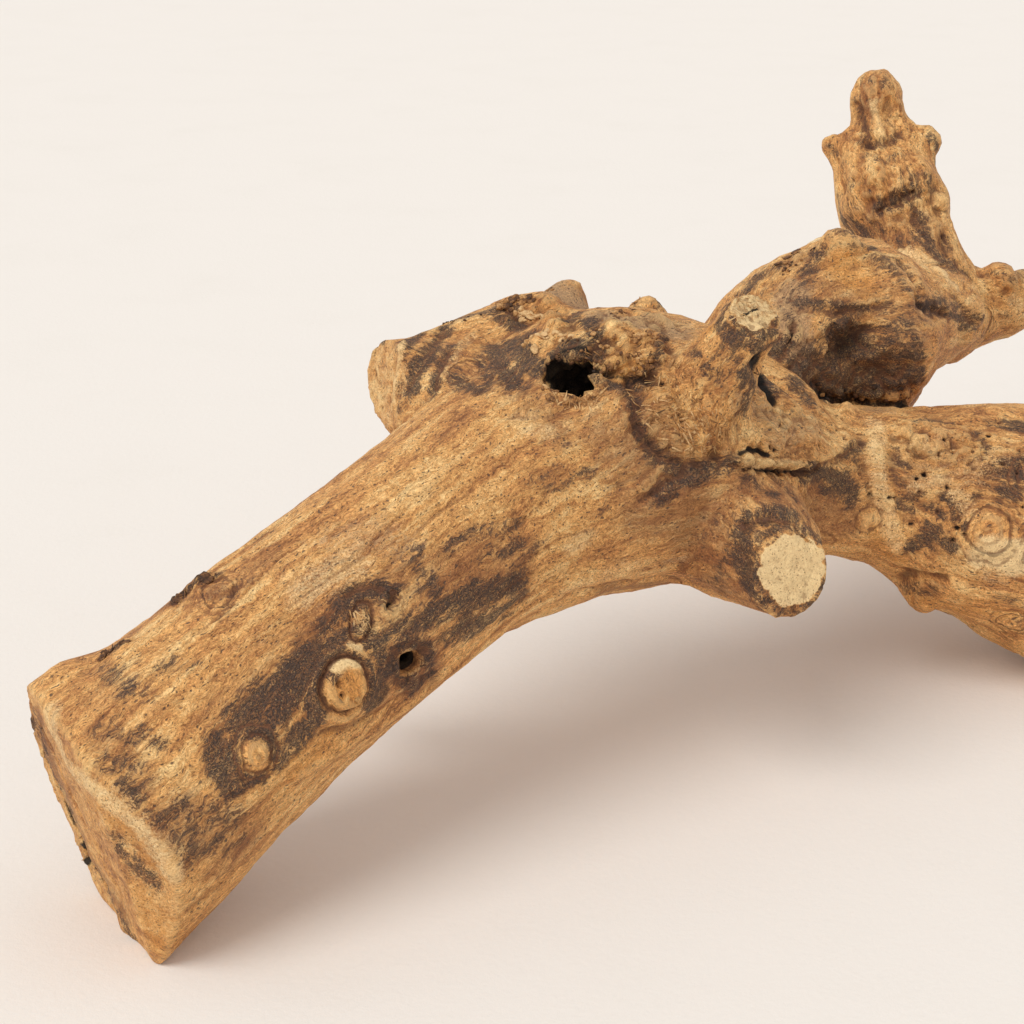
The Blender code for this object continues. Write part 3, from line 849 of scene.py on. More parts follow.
LUMPS = (
    # The burl.
    Lump((858, 275), 5.5, -0.9), Lump((838, 240), 3.6, 1.2), Lump((905, 332), 7.0, 1.6),
    Lump((800, 335), 8.0, 0.8), Lump((850, 345), 4.6, -4.6, 1.2, 40.0), Lump((868, 334), 2.4, -1.6),
    Lump((836, 352), 1.8, -1.2), Lump((838, 322), 2.0, 0.8, 1.8, 15.0), Lump((818, 372), 4.0, -1.0),
    Lump((880, 378), 4.0, -1.5), Lump((840, 388), 4.2, 0.9), Lump((886, 390), 5.0, 1.2),
    Lump((866, 372), 3.4, -0.9, 1.4, 30.0), Lump((912, 378), 3.0, 1.0),
    Lump((934, 306), 2.2, -1.3, 1.7, -10.0), Lump((764, 378), 2.8, -2.2, 1.9, -70.0),
    Lump((772, 366), 5.0, -3.4), Lump((792, 384), 5.5, -3.0), Lump((814, 402), 5.0, -1.6),
    Lump((928, 275), 4.2, 1.5, 1.8, -35.0), Lump((786, 298), 3.6, -1.2),
    Lump((722, 304), 9.0, -3.2, 1.6, 40.0), Lump((962, 332), 3.6, -1.2),
    # The ledge and the saddle.
    Lump((770, 440), 6.0, 1.2, 1.8), Lump((846, 412), 2.2, 2.4, 1.3, 70.0),
    Lump((828, 426), 2.4, -1.2, 1.4, 60.0), Lump((792, 402), 3.0, 1.2, 1.5, -20.0),
    Lump((774, 418), 2.2, -1.1, 1.4), Lump((806, 438), 3.0, 0.9, 1.6), Lump((784, 445), 1.6, -0.8),
    Lump((868, 432), 2.6, -1.0, 1.6, 60.0), Lump((812, 412), 1.8, -0.9),
    Lump((860, 452), 2.4, 0.9, 1.8, 20.0), Lump((752, 455), 1.8, -1.4, 1.6),
    Lump((742, 418), 4.0, -1.5), Lump((822, 486), 4.6, -1.2),
    # The branch to the right.
    Lump((937, 447), 6.5, 1.2, 1.5), Lump((918, 450), 1.6, -0.9, 1.6, 20.0),
    Lump((934, 438), 1.5, 0.9, 1.8, -10.0), Lump((950, 452), 1.5, -0.8, 1.4, 40.0),
    Lump((963, 440), 1.5, 0.9), Lump((906, 428), 1.7, 0.8), Lump((975, 462), 1.8, -0.8),
    Lump((990, 412), 6.0, 1.2), Lump((992, 532), 5.0, 1.4), Lump((930, 500), 5.0, -1.0),
    Lump((905, 572), 3.0, -1.0), Lump((868, 520), 3.0, 1.0), Lump((1008, 472), 4.0, -0.9),
    Lump((950, 590), 5.0, 0.8),
    # The mast.
    Lump((878, 92), 3.0, 0.8), Lump((862, 120), 2.2, -1.0, 1.8, 80.0),
    Lump((880, 150), 3.6, -1.0, 1.6, 5.0), Lump((870, 175), 5.0, 1.6), Lump((900, 200), 3.2, -1.5),
    Lump((928, 175), 4.0, 1.0), Lump((940, 205), 3.0, 1.5), Lump((850, 205), 4.0, 1.0),
    Lump((885, 235), 3.6, -1.2, 1.8, -20.0), Lump((915, 255), 4.0, 1.2), Lump((945, 245), 2.5, -1.2),
    Lump((856, 100), 1.8, 1.1), Lump((893, 108), 1.8, -0.9), Lump((842, 186), 2.6, -1.1),
    Lump((936, 226), 2.4, 1.5), Lump((948, 264), 2.4, 1.4), Lump((866, 206), 2.0, -0.8, 1.5, 50.0),
    Lump((918, 160), 2.0, 0.9), Lump((852, 158), 2.2, 1.0),
    # The fork.
    Lump((975, 320), 4.4, 1.2), Lump((1000, 300), 3.0, -0.8), Lump((1012, 280), 3.0, 1.0),
    # Round the hollow.
    Lump((545, 300), 4.0, 1.4), Lump((530, 335), 3.6, -1.2), Lump((556, 326), 2.2, 1.6),
    Lump((535, 345), 2.0, 1.4), Lump((620, 335), 5.0, 1.8), Lump((598, 350), 2.4, -1.6),
    Lump((650, 345), 4.0, 1.2), Lump((628, 372), 2.6, -1.8, 2.2), Lump((648, 306), 2.6, 1.6),
    Lump((662, 328), 2.0, -1.0), Lump((466, 368), 3.0, -0.6), Lump((440, 360), 2.6, -0.7, 2.0, 60.0),
    Lump((410, 365), 3.4, -1.0, 2.0, 75.0),
    # The finger.
    Lump((665, 385), 5.0, 1.2), Lump((700, 420), 5.0, 0.8), Lump((735, 330), 2.2, -0.6),
    Lump((680, 440), 5.0, 0.8),
    # The middle and the knob.
    Lump((620, 570), 8.0, 0.8, 2.4, 15.0), Lump((590, 520), 10.0, -0.6), Lump((730, 480), 6.0, 1.0),
    Lump((760, 505), 5.0, 1.0, 1.6), Lump((840, 560), 6.0, -1.0), Lump((742, 560), 3.6, -0.7),
    # The trunk.
    Lump((397, 654), 1.8, -1.1), Lump((425, 650), 1.8, -1.0), Lump((428, 676), 1.8, -1.1),
    Lump((401, 683), 1.8, -1.1), Lump((412, 645), 1.6, -0.8), Lump((500, 440), 10.0, -0.5),
    Lump((385, 690), 3.0, -0.5), Lump((254, 752), 5.0, 0.8), Lump((345, 685), 6.0, 0.8),
    Lump((300, 700), 5.0, -0.4), Lump((197, 589), 3.0, 1.4), Lump((118, 651), 2.4, 1.0),
    Lump((60, 672), 4.6, 1.0), Lump((150, 700), 8.0, 0.6), Lump((210, 690), 10.0, -0.4),
)


class KnotKind(Enum):
    """The shapes of knot that the wood shows."""

    DISC = "disc"
    RINGS = "rings"
    HOLE = "hole"
    SCAR = "scar"
    PIMPLE = "pimple"


@dataclass(frozen=True)
class Knot:
    """A knot where a twig once left the wood: its place in the photograph, kind and radius."""

    at: Pixel
    kind: KnotKind
    radius: float
    depth: float = 1.0
    stretch: float = 1.0
    lean: float = 0.0


KNOTS = (
    Knot((345, 685), KnotKind.DISC, 4.2, 1.1), Knot((338, 694), KnotKind.HOLE, 0.6, 0.6),
    Knot((350, 699), KnotKind.HOLE, 0.5, 0.5), Knot((333, 683), KnotKind.HOLE, 0.5, 0.5),
    Knot((256, 752), KnotKind.RINGS, 2.5, 1.0, 1.2, 60.0),
    Knot((363, 620), KnotKind.SCAR, 1.8, 0.8, 1.75, 35.0),
    Knot((392, 603), KnotKind.HOLE, 1.3, 1.3, 1.5, 30.0), Knot((237, 787), KnotKind.PIMPLE, 1.3, 0.5),
    Knot((868, 520), KnotKind.PIMPLE, 2.6, 0.8), Knot((990, 532), KnotKind.RINGS, 4.4, 0.9),
    Knot((1012, 620), KnotKind.RINGS, 3.0, 0.7), Knot((792, 335), KnotKind.HOLE, 1.3, 1.2, 1.9, 75.0),
    Knot((466, 368), KnotKind.RINGS, 2.6, 0.5), Knot((218, 590), KnotKind.RINGS, 2.4, 0.4, 1.6, 50.0),
    Knot((85, 854), KnotKind.HOLE, 1.2, 1.8, 1.8, 60.0), Knot((779, 427), KnotKind.HOLE, 0.9, 1.0),
    Knot((940, 202), KnotKind.PIMPLE, 2.4, 0.7), Knot((668, 491), KnotKind.RINGS, 1.8, 0.3),
    Knot((930, 446), KnotKind.PIMPLE, 2.6, 0.6, 1.7, 10.0), Knot((985, 322), KnotKind.RINGS, 3.0, 0.6),
    Knot((660, 384), KnotKind.HOLE, 1.1, 1.0), Knot((500, 372), KnotKind.PIMPLE, 1.4, 0.4),
    Knot((648, 306), KnotKind.RINGS, 2.2, 0.9),
)


# How strongly a knot of each kind shows rings and a dark rim.
RING_SHADES = {
    KnotKind.DISC: 0.15,
    KnotKind.RINGS: 0.62,
    KnotKind.HOLE: 0.2,
    KnotKind.SCAR: 0.2,
    KnotKind.PIMPLE: 0.3,
}
RIM_SHADES = {
    KnotKind.DISC: 0.9,
    KnotKind.RINGS: 0.55,
    KnotKind.HOLE: 0.4,
    KnotKind.SCAR: 0.7,
    KnotKind.PIMPLE: 0.5,
}


# What a knot of each kind is marked with: the mark, how strong it is, and the radii from which and to
# which it fades.
KNOT_MARKS = {
    # A hole's inside is painted near black: painted shade, with the dark of rot.
    KnotKind.HOLE: ((Mark.ROT_AND_SHADE, 0.85, 0.15, 0.85), (Mark.CRUST, 0.6, 1.0, 2.0)),
    KnotKind.SCAR: ((Mark.FRESH, 0.40, 0.6, 1.0),),
    KnotKind.DISC: ((Mark.AMBER, 0.7, 0.8, 1.0),),
}


@dataclass(frozen=True)
class SawCut:
    """A sawn or broken end face.

    It has a point on it in the root's own millimetres, the way it looks, its reach, how pale it is, how
    torn it is in millimetres, and how dark the bark is behind it.
    """

    point: tuple[float, float, float]
    way: tuple[float, float, float]
    reach: float
    pale: float
    torn: float = 0.0
    collar: float = 0.0


SAW_CUTS = (
    SawCut((-115, -123, 0), (-0.85, -0.47, -0.24), 40.0, 0.25),
    SawCut((-111, -131, 23), (-0.44, -0.87, -0.17), 18.0, 0.30),
    SawCut((-80, -30, 73), (-0.90, -0.35, 0.25), 13.0, 0.35, 0.5),
    SawCut((-11.6, -51.5, 91.6), (0.35, -0.55, 0.76), 4.7, 1.0, 1.0, 0.85),
    SawCut((-4.0, -66.6, 47.4), (0.40, -0.90, 0.17), 7.1, 1.0, 0.3, 0.75),
    SawCut((146, 5, 10), (0.96, -0.20, -0.20), 20.0, 0.8),
    SawCut((68, 74, 61), (0.85, 0.35, 0.38), 10.0, 0.6, 0.9, 0.4),
    SawCut((-89, -43, 27), (-0.45, 0.70, -0.55), 10.0, 0.8),
    SawCut((86, 43, 48), (0.15, 0.85, 0.50), 8.0, 0.8),
)


# The sides that the photograph doesn't show: tries to place a mark, the least distance between two marks
# and the length of a feeler in millimetres, and the kinds of mark and of knot in turn.
FAR_TRIES = 420
FAR_APART = 10.0
FAR_REACH = 60.0
FAR_MARKS = (Mark.STAIN, Mark.UMBER, Mark.STAIN, Mark.GNARL, Mark.STAIN, Mark.PITS, Mark.GREY, Mark.FRESH)
FAR_KINDS = (KnotKind.RINGS, KnotKind.PIMPLE, KnotKind.HOLE, KnotKind.RINGS, KnotKind.DISC, KnotKind.HOLE)


class ChipKind(Enum):
    """The kinds of small loose bit that cling to the wood, and the piece that each kind makes."""

    CRUMB = "rot_crumbs"
    FLAKE = "bark_flakes"
    SPLINTER = "torn_fibres"


@dataclass(frozen=True)
class Scatter:
    """Small bits that cling to the wood along a path over the photograph.

    The strip's half width and the bits' least and greatest size are in millimetres, and the tone runs
    from 0, dark, to 1, pale. The bits lie along the lean, in degrees in the picture, within the spread.
    """

    count: int
    wide: float
    size: tuple[float, float]
    tone: float
    path: tuple[Pixel, ...]
    lean: float = 0.0
    spread: float = 180.0


SCATTERS = {
    ChipKind.CRUMB: (
        Scatter(16, 1.6, (0.8, 1.6), 0.85, ((520, 314), (538, 318), (552, 322))),
        Scatter(18, 1.8, (0.8, 1.7), 0.85, ((530, 346), (546, 334), (562, 340))),
        Scatter(12, 1.6, (0.6, 1.2), 0.30, ((562, 344), (580, 346), (594, 360))),
        Scatter(34, 3.0, (0.6, 1.4), 0.60, ((600, 338), (622, 340), (648, 342))),
        Scatter(26, 2.0, (0.6, 1.3), 0.50, ((600, 360), (622, 364), (645, 364))),
        Scatter(20, 1.6, (0.5, 1.1), 0.45, ((606, 320), (630, 310), (655, 316))),
        Scatter(12, 1.0, (0.4, 0.9), 0.40, ((508, 300), (530, 294), (552, 290))),
        Scatter(10, 0.8, (0.4, 0.8), 0.20, ((372, 342), (425, 330), (480, 316))),
        Scatter(26, 1.8, (0.6, 1.4), 0.15, ((806, 390), (846, 394), (900, 388))),
        Scatter(16, 2.2, (0.5, 1.2), 0.20, ((838, 332), (856, 336), (856, 356))),
        Scatter(12, 1.0, (0.5, 1.0), 0.35, ((762, 288), (788, 266), (815, 250))),
        Scatter(14, 0.8, (0.5, 1.1), 0.75, ((738, 462), (770, 464), (812, 464))),
        Scatter(30, 3.0, (0.4, 0.9), 0.60, ((652, 392), (668, 420), (700, 440), (720, 436))),
        Scatter(12, 1.6, (0.4, 1.0), 0.35, ((900, 392), (922, 388), (944, 396))),
        Scatter(12, 2.4, (0.4, 0.9), 0.65, ((910, 442), (940, 450), (970, 452))),
        Scatter(8, 0.8, (0.6, 1.3), 0.32, ((106, 656), (126, 645))),
        Scatter(12, 0.9, (0.6, 1.4), 0.32, ((182, 598), (196, 589), (212, 578))),
        Scatter(10, 1.2, (0.4, 0.9), 0.40, ((862, 216), (890, 226), (920, 236))),
        Scatter(22, 1.2, (0.8, 1.8), 0.42, ((502, 306), (524, 301), (546, 299))),
        Scatter(18, 1.4, (0.6, 1.5), 0.30, ((824, 390), (850, 394), (884, 396), (910, 390))),
        Scatter(22, 1.0, (0.5, 1.2), 0.55, ((545, 388), (560, 398), (584, 402), (602, 388))),
        Scatter(18, 1.2, (0.5, 1.2), 0.22, ((552, 362), (566, 356), (588, 360), (600, 372))),
    ),
    ChipKind.FLAKE: (
        Scatter(8, 0.8, (1.3, 2.5), 0.42, ((184, 597), (196, 589), (210, 580)), 35.0, 30.0),
        Scatter(6, 0.7, (1.1, 2.1), 0.36, ((104, 656), (114, 652), (126, 645)), 25.0, 40.0),
        Scatter(14, 1.0, (0.9, 2.0), 0.36, ((742, 290), (762, 274), (790, 256), (815, 242)), 30.0, 60.0),
        Scatter(10, 1.2, (1.0, 2.0), 0.40, ((500, 308), (522, 302), (544, 300)), 20.0, 60.0),
        Scatter(5, 1.2, (1.3, 2.4), 0.90, ((530, 350), (540, 340), (552, 338))),
        Scatter(10, 0.8, (1.0, 1.8), 0.50, ((552, 396), (572, 402), (592, 398), (602, 386)), 80.0, 40.0),
        Scatter(5, 1.2, (1.2, 2.2), 0.80, ((518, 312), (534, 318), (548, 320))),
        Scatter(6, 0.6, (1.2, 2.2), 0.85, ((738, 462), (770, 464), (806, 464)), 0.0, 25.0),
        Scatter(6, 1.4, (1.0, 2.0), 0.45, ((600, 362), (624, 366), (644, 366))),
        Scatter(5, 1.2, (0.9, 1.6), 0.55, ((640, 302), (652, 304), (662, 312))),
    ),
    ChipKind.SPLINTER: (
        Scatter(30, 1.2, (1.0, 2.4), 0.70, ((546, 396), (566, 404), (590, 402), (604, 392)), 75.0, 50.0),
        Scatter(90, 1.4, (0.7, 1.8), 0.85, ((738, 318), (742, 302), (758, 298), (770, 310), (750, 314))),
        Scatter(170, 4.0, (0.8, 2.4), 0.66,
                ((650, 388), (666, 420), (694, 442), (716, 430)), -25.0, 60.0),
        Scatter(60, 3.0, (0.8, 2.0), 0.60, ((668, 372), (690, 396), (706, 412)), -55.0, 40.0),
        Scatter(30, 3.0, (1.0, 2.2), 0.45, ((600, 356), (622, 360), (648, 360)), -60.0, 70.0),
        Scatter(14, 1.2, (1.0, 2.0), 0.80, ((354, 618), (366, 628)), -60.0, 30.0),
        Scatter(14, 1.4, (0.8, 1.6), 0.45, ((404, 660), (418, 660), (414, 674))),
        Scatter(14, 1.0, (1.4, 3.2), 0.30, ((756, 362), (764, 380), (774, 394)), -50.0, 40.0),
        Scatter(12, 0.8, (0.8, 1.8), 0.55, ((762, 598), (778, 606), (800, 608))),
    ),
}


@dataclass
class Skin:
    """The wood's skin as rows of numbers: places, outward directions, and each mark's value a point.

    Smoothing moves a point by a share of the way to its neighbours' mean, and swelling back by another.
    """

    points: np.ndarray
    faces: np.ndarray
    marks: dict[Mark, np.ndarray] = field(init=False)
    smoothing: float = 0.5
    swelling_back: float = 0.53

    def __post_init__(self) -> None:
        """List the skin's edges once, and start with no marks."""
        sides = np.vstack([self.faces[:, [k, (k + 1) % 4]] for k in range(4)])
        self.edges = sides[sides[:, 0] < sides[:, 1]]
        self.count = np.bincount(self.edges.ravel(), minlength=len(self.points))[:, None]
        self.marks = {mark: np.zeros(len(self.points)) for mark in Mark}
        self.knot_way = np.full(len(self.points), NO_RING)
        self.ring_power = np.zeros(len(self.points))
        self.rim_power = np.zeros(len(self.points))
        self.face_normals()

    def face_normals(self) -> None:
        """Work out the outward direction at each point."""
        a, b, c, d = (self.points[self.faces[:, k]] for k in range(4))
        ways = np.cross(c - a, d - b)
        total = np.zeros_like(self.points)
        for corner in range(4):
            for axis in range(3):
                total[:, axis] += np.bincount(self.faces[:, corner], ways[:, axis], len(self.points))
        self.normals = unit(total)

    def close_to(self, spot: np.ndarray, reach: float) -> np.ndarray:
        """Give the numbers of the points in a cube round a spot."""
        inside = np.abs(self.points - spot).max(1) < reach
        return np.flatnonzero(inside)

    def along(self, legs: list[tuple[np.ndarray, np.ndarray]],
              reach: float) -> Iterable[tuple[np.ndarray, np.ndarray, np.ndarray]]:
        """Measure the points near a trail.

        Args:
            legs: The trail's short legs.
            reach: Points farther away than this are left out.

        Yields:
            For each leg, the near points' numbers, how far they are from it, and how far above it they
            are as the photograph shows it.
        """
        if not legs:
            return
        corners = np.array(legs).reshape(-1, 3)
        low = corners.min(0) - reach
        high = corners.max(0) + reach
        close = np.flatnonzero(((self.points > low) & (self.points < high)).all(1))
        places = self.points[close]
        for start, stop in legs:
            leg = stop - start
            away = places - start
            t = np.clip(away @ leg / max(leg @ leg, 1e-9), 0.0, 1.0)
            away = away - t[:, None] * leg
            distance = np.linalg.norm(away, axis=1)
            chosen = distance < reach
            near = close[chosen]
            above = np.cross(self.normals[near], leg / max(np.linalg.norm(leg), 1e-9))
            yield near, distance[chosen], (away[chosen] * above).sum(1)

    def mean_near(self, values: np.ndarray) -> np.ndarray:
        """Average each point's neighbours."""
        total = np.empty_like(values)
        first = self.edges[:, 0]
        second = self.edges[:, 1]
        for axis in range(values.shape[1]):
            column = values[:, axis]
            total[:, axis] = (
                np.bincount(first, column[second], len(values))
                + np.bincount(second, column[first], len(values))
            )
        return total / self.count

    def relax(self, rounds: int, keep_size: bool) -> None:
        """Smooth the skin.

        Args:
            rounds: How many passes.
            keep_size: Follow each pass by one outwards, so that the wood doesn't shrink.
        """
        for _ in range(rounds):
            self.points = self.points + self.smoothing * (self.mean_near(self.points) - self.points)
            if keep_size:
                step = self.swelling_back * (self.mean_near(self.points) - self.points)
                self.points = self.points - step
        self.face_normals()

    def swell(self, height: np.ndarray) -> None:
        """Push each point outwards by its height in millimetres."""
        self.points = self.points + self.normals * height[:, None]
        self.face_normals()

    def paint(self, mark: Mark, near: np.ndarray, value: np.ndarray) -> None:
        """Raise a mark at some points to a value wherever it is lower.

        Args:
            mark: The mark.
            near: The points' numbers.
            value: The value at each of them.
        """
        self.marks[mark][near] = np.maximum(self.marks[mark][near], value)

    def lay_patch(self, mark: Mark, legs: list[tuple[np.ndarray, np.ndarray]], wide: float, power: float,
                  wavy: np.ndarray) -> None:
        """Lay a soft patch of a mark along a trail.

        Args:
            mark: The mark.
            legs: The trail's short legs.
            wide: The patch's half width in millimetres.
            power: How strong it is in its middle.
            wavy: A factor a point on the distance from the trail, which makes the edge wavy.
        """
        for near, distance, _ in self.along(legs, PATCH_REACH * wide):
            gap = distance * wavy[near] / wide
            self.paint(mark, near, fall(PATCH_CORE, PATCH_END, gap) * power)


class Seed(IntEnum):
    """What each noise and each row of random draws is for; the number is added to the root's seed."""

    GRAIN = 1
    PATCH = 2
    SWELL = 3
    RIDGE = 4
    KNOT = 5
    CUT_EDGE = 6
    FINE = 7
    PITS = 8
    GROOVE = 9
    TEAR = 10
    FAR_SPOTS = 20
    FAR_KNOTS = 21
    FAR_MARKS = 22
    FAR_LUMPS = 23


# The grain's wander: how far it goes and its wave length in millimetres, and a shift from axis to axis.
GRAIN_BENDS = ((2.2, 19, 31.7), (0.5, 5, 11.1))


@dataclass
class RootBody:
    """The root itself, one piece of wood: it grows its skin, presses its relief in, and is dressed.

    Lengths are in millimetres. The grid is the skin's mesh width. The eye is how wide a knot pushes the
    grain aside for its radius. The grain is measured within its reach and smoothed in rounds, except
    where it leaps from one limb to another. The skin lies at least so high over the floor. The relief is
    felt against the skin calmed in a few near rounds, and then in more wide ones. The levels and the
    factor say how the side that the photograph shows keeps more of its triangles.
    """

    sight: Sight
    grid: float = 0.6
    weld: float = 0.001
    triangles: int = 198_000
    seed: int = 41
    facet_rounds: int = 26
    box_margin: float = 0.4
    least_floor: float = 0.02
    eye: float = 1.25
    eye_core: float = 0.35
    grain_reach: float = 14.0
    grain_rounds: int = 16
    grain_leap: float = 2.0
    limb_blend: float = 1.6
    groove_spacing: float = 5.0
    near_rounds: int = 7
    wide_rounds: int = 30
    calming: float = 0.6
    hollow_reach: float = 9.0
    rim_rounds: int = 5
    keep_levels: int = 4
    keep_factor: float = 0.6

    def noise(self, use: Seed) -> Noise:
        """Make the noise for one use."""
        return Noise(self.seed + use)

    def draws(self, use: Seed) -> np.random.Generator:
        """Start the random draws for one use."""
        return np.random.default_rng(self.seed + use)

    def grow(self, cad: bpy.types.Object) -> Skin:
        """Make a fine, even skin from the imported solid's mesh.

        Args:
            cad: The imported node, which stays as it is.

        Returns:
            The skin in millimetres.
        """
        helper = add_object("skin_helper", cad.data.copy())
        weld = helper.modifiers.new("weld", "WELD")
        weld.merge_threshold = self.weld * MM
        remesh = helper.modifiers.new("even_skin", "REMESH")
        remesh.mode = "VOXEL"
        remesh.voxel_size = self.grid * MM
        seen = helper.evaluated_get(bpy.context.evaluated_depsgraph_get())
        mesh = bpy.data.meshes.new_from_object(seen)
        points = np.empty(len(mesh.vertices) * 3, np.float32)
        mesh.vertices.foreach_get("co", points)
        faces = np.empty(len(mesh.polygons) * 4, np.int32)
        mesh.polygons.foreach_get("vertices", faces)
        bpy.data.objects.remove(helper)
        skin = Skin(points.reshape(-1, 3).astype(float) / MM, faces.reshape(-1, 4))
        skin.relax(self.facet_rounds, True)
        return skin

    def follow_grain(self, skin: Skin) -> None:
        """Store each point's place across and along its limb, bent round the knots.

        Args:
            skin: The skin before its fine relief.
        """
        wave = self.noise(Seed.GRAIN)
        bent = skin.points.copy()
        for axis, (far, length, shift) in itertools.product(range(3), GRAIN_BENDS):
            bent[:, axis] += far * wave.at(skin.points / length + shift * axis)
        for spot, normal, knot in self.knots:
            away = skin.points - spot
            across = np.cross(normal, STEM.way_at(spot))
            across /= np.linalg.norm(across)
            size = knot.radius * self.eye
            gap = (away * away).sum(1)
            push = (away @ across) * size ** 2 / (gap + self.eye_core * size ** 2)
            fade = fall(2.5 * size, 4.5 * size, np.sqrt(gap))
            bent -= (push * fade)[:, None] * across
        gaps = {layer: np.full(len(bent), NO_GAP) for layer in Layer}
        self.places = {layer: np.zeros((len(bent), 3)) for layer in Layer}
        for limb in LIMBS:
            gap, places = limb.measure(bent, self.grain_reach)
            closer = gap < gaps[limb.layer]
            gaps[limb.layer] = np.where(closer, gap, gaps[limb.layer])
            self.places[limb.layer][closer] = places[closer]
        for layer in Layer:
            for _ in range(self.grain_rounds):
                step = skin.mean_near(self.places[layer]) - self.places[layer]
                step[np.abs(step).max(1) > self.grain_leap] = 0.0
                self.places[layer] += step
        share = {layer: np.exp(-np.clip(gaps[layer], -6, 40) / self.limb_blend) for layer in Layer}
        stem, side, twig = share.values()
        self.side_share = side / (stem + side)
        self.twig_share = twig / (np.maximum(stem, side) + twig)
        self.grain = self.places[Layer.STEM].copy()
        for layer, chosen in ((Layer.SIDE, self.side_share > 0.5), (Layer.TWIG, self.twig_share > 0.5)):
            self.grain[chosen] = self.places[layer][chosen]

    def find_far_spots(self) -> None:
        """Choose places on the sides that the photograph doesn't show, for marks like those it shows.

        Each is a place, its outward direction and the way along its limb.
        """
        draw = self.draws(Seed.FAR_SPOTS)
        share = np.array([limb.length[-1] * limb.radius.mean() for limb in LIMBS])
        self.far_spots = []
        for _ in range(FAR_TRIES):
            limb = LIMBS[draw.choice(len(LIMBS), p=share / share.sum())]
            index = draw.integers(1, len(limb.spine) - 1)
            way = limb.ways[index]
            out = draw.normal(size=3)
            out = unit(out - way * (out @ way))
            place, normal, _, _ = self.sight.tree.ray_cast(
                Vector(limb.spine[index] + out * FAR_REACH), Vector(-out))
            if place is None or not self.sight.hides(np.array(place)):
                continue
            place = np.array(place)
            if all(np.linalg.norm(place - other) > FAR_APART for other, _, _ in self.far_spots):
                self.far_spots.append((place, np.array(normal), way))

    def find_knots(self) -> None:
        """Find the knots' places on the wood."""
        self.knots = []
        draw = self.draws(Seed.FAR_KNOTS)
        for number, (place, normal, _) in enumerate(self.far_spots[::3]):
            kind = FAR_KINDS[number % len(FAR_KINDS)]
            radius = draw.uniform(0.9, 1.5) if kind is KnotKind.HOLE else draw.uniform(1.8, 4.2)
            depth = draw.uniform(0.5, 1.1)
            stretch = draw.uniform(1.0, 1.6)
            knot = Knot((0, 0), kind, radius, depth, stretch, draw.uniform(0, 180))
            self.knots.append((place, normal, knot))
        for knot in KNOTS:
            found = self.sight.spot(knot.at)
            if found:
                self.knots.append((*found, knot))

    def brush(self, skin: Skin) -> None:
        """Lay the strokes on the skin as soft patches with wavy edges.

        Args:
            skin: The skin to mark.
        """
        wavy = 1.0 + 0.5 * self.noise(Seed.PATCH).layers(skin.points / 5.0, 3)
        for mark, strokes in STROKES.items():
            for wide, power, *path in strokes:
                skin.lay_patch(mark, self.sight.trail(path), wide, power, wavy)
        draw = self.draws(Seed.FAR_MARKS)
        for number, (place, _, way) in enumerate(self.far_spots):
            mark = FAR_MARKS[number % len(FAR_MARKS)]
            half = way * draw.uniform(3.0, 14.0)
            wide = draw.uniform(1.8, 4.0)
            power = draw.uniform(0.72, 1.0)
            skin.lay_patch(mark, [(place - half, place + half)], wide, power, wavy)

    def shape_lumps(self, skin: Skin) -> None:
        """Give the wood its swells, dents, gnarls and long grain ridges.

        Args:
            skin: The skin, which moves.
        """
        height = np.zeros(len(skin.points))
        spots = []
        for lump in LUMPS:
            found = self.sight.spot(lump.at)
            if found:
                spots.append((*found, lean_way(lump.lean), lump))
        draw = self.draws(Seed.FAR_LUMPS)
        for place, normal, way in self.far_spots:
            radius = draw.uniform(2.5, 8.0)
            height_here = draw.uniform(-1.0, 1.3)
            spots.append((place, normal, way, Lump((0, 0), radius, height_here, draw.uniform(1.0, 2.2))))
        for spot, normal, way, lump in spots:
            near = skin.close_to(spot, 2.4 * lump.radius * lump.stretch)
            away = skin.points[near] - spot
            way = way - normal * (way @ normal)
            way /= np.linalg.norm(way)
            ahead = away @ way
            aside = ((away - ahead[:, None] * way) ** 2).sum(1)
            gap = ((ahead / lump.stretch) ** 2 + aside) / lump.radius ** 2
            height[near] += lump.height * np.exp(-1.3 * gap) * (skin.normals[near] @ normal > -0.2)
        swell = self.noise(Seed.SWELL)
        gnarl = np.maximum(skin.marks[Mark.GNARL], 0.22 + 0.40 * ease(-30, 10, skin.points[:, 0]))
        folds = 0.45 - 2.2 * np.abs(swell.at(skin.points / 11))
        height += gnarl * (0.9 * folds + 0.9 * swell.at(skin.points / 5.5 + 4.0))
        height += skin.marks[Mark.GNARL] * 0.7 * (0.3 - 1.5 * np.abs(swell.at(skin.points / 4.6 + 9.0)))
        ridge = self.noise(Seed.RIDGE)
        height += 0.55 * ridge.at(self.grain / [5.5, 5.5, 46.0])
        height += 0.30 * ridge.at(self.grain / [2.4, 2.4, 22.0] + 5.0)
        skin.swell(height)
        skin.relax(2, True)

    def press_grooves(self, skin: Skin) -> None:
        """Press the grooves, raise the ridges, and let the ledges stand over what is under them.

        Args:
            skin: The skin, which moves.
        """
        waver = 1.0 + 0.7 * self.noise(Seed.GROOVE).layers(skin.points / 2.6, 2)
        height = np.zeros(len(skin.points))
        for groove in GROOVES:
            reach = max(2.2 * groove.wide, groove.lip * 1.1)
            least = np.zeros(len(skin.points))
            trail = self.sight.trail(groove.path, self.groove_spacing)
            for near, distance, above in skin.along(trail, reach):
                if groove.lip:
                    shape = fall(0.0, groove.lip, distance) * ease(-0.3, 0.3, above)
                else:
                    shape = bell(0.0, groove.wide, distance * waver[near])
                least[near] = np.maximum(least[near], shape)
            height += groove.depth * least
        skin.swell(height)

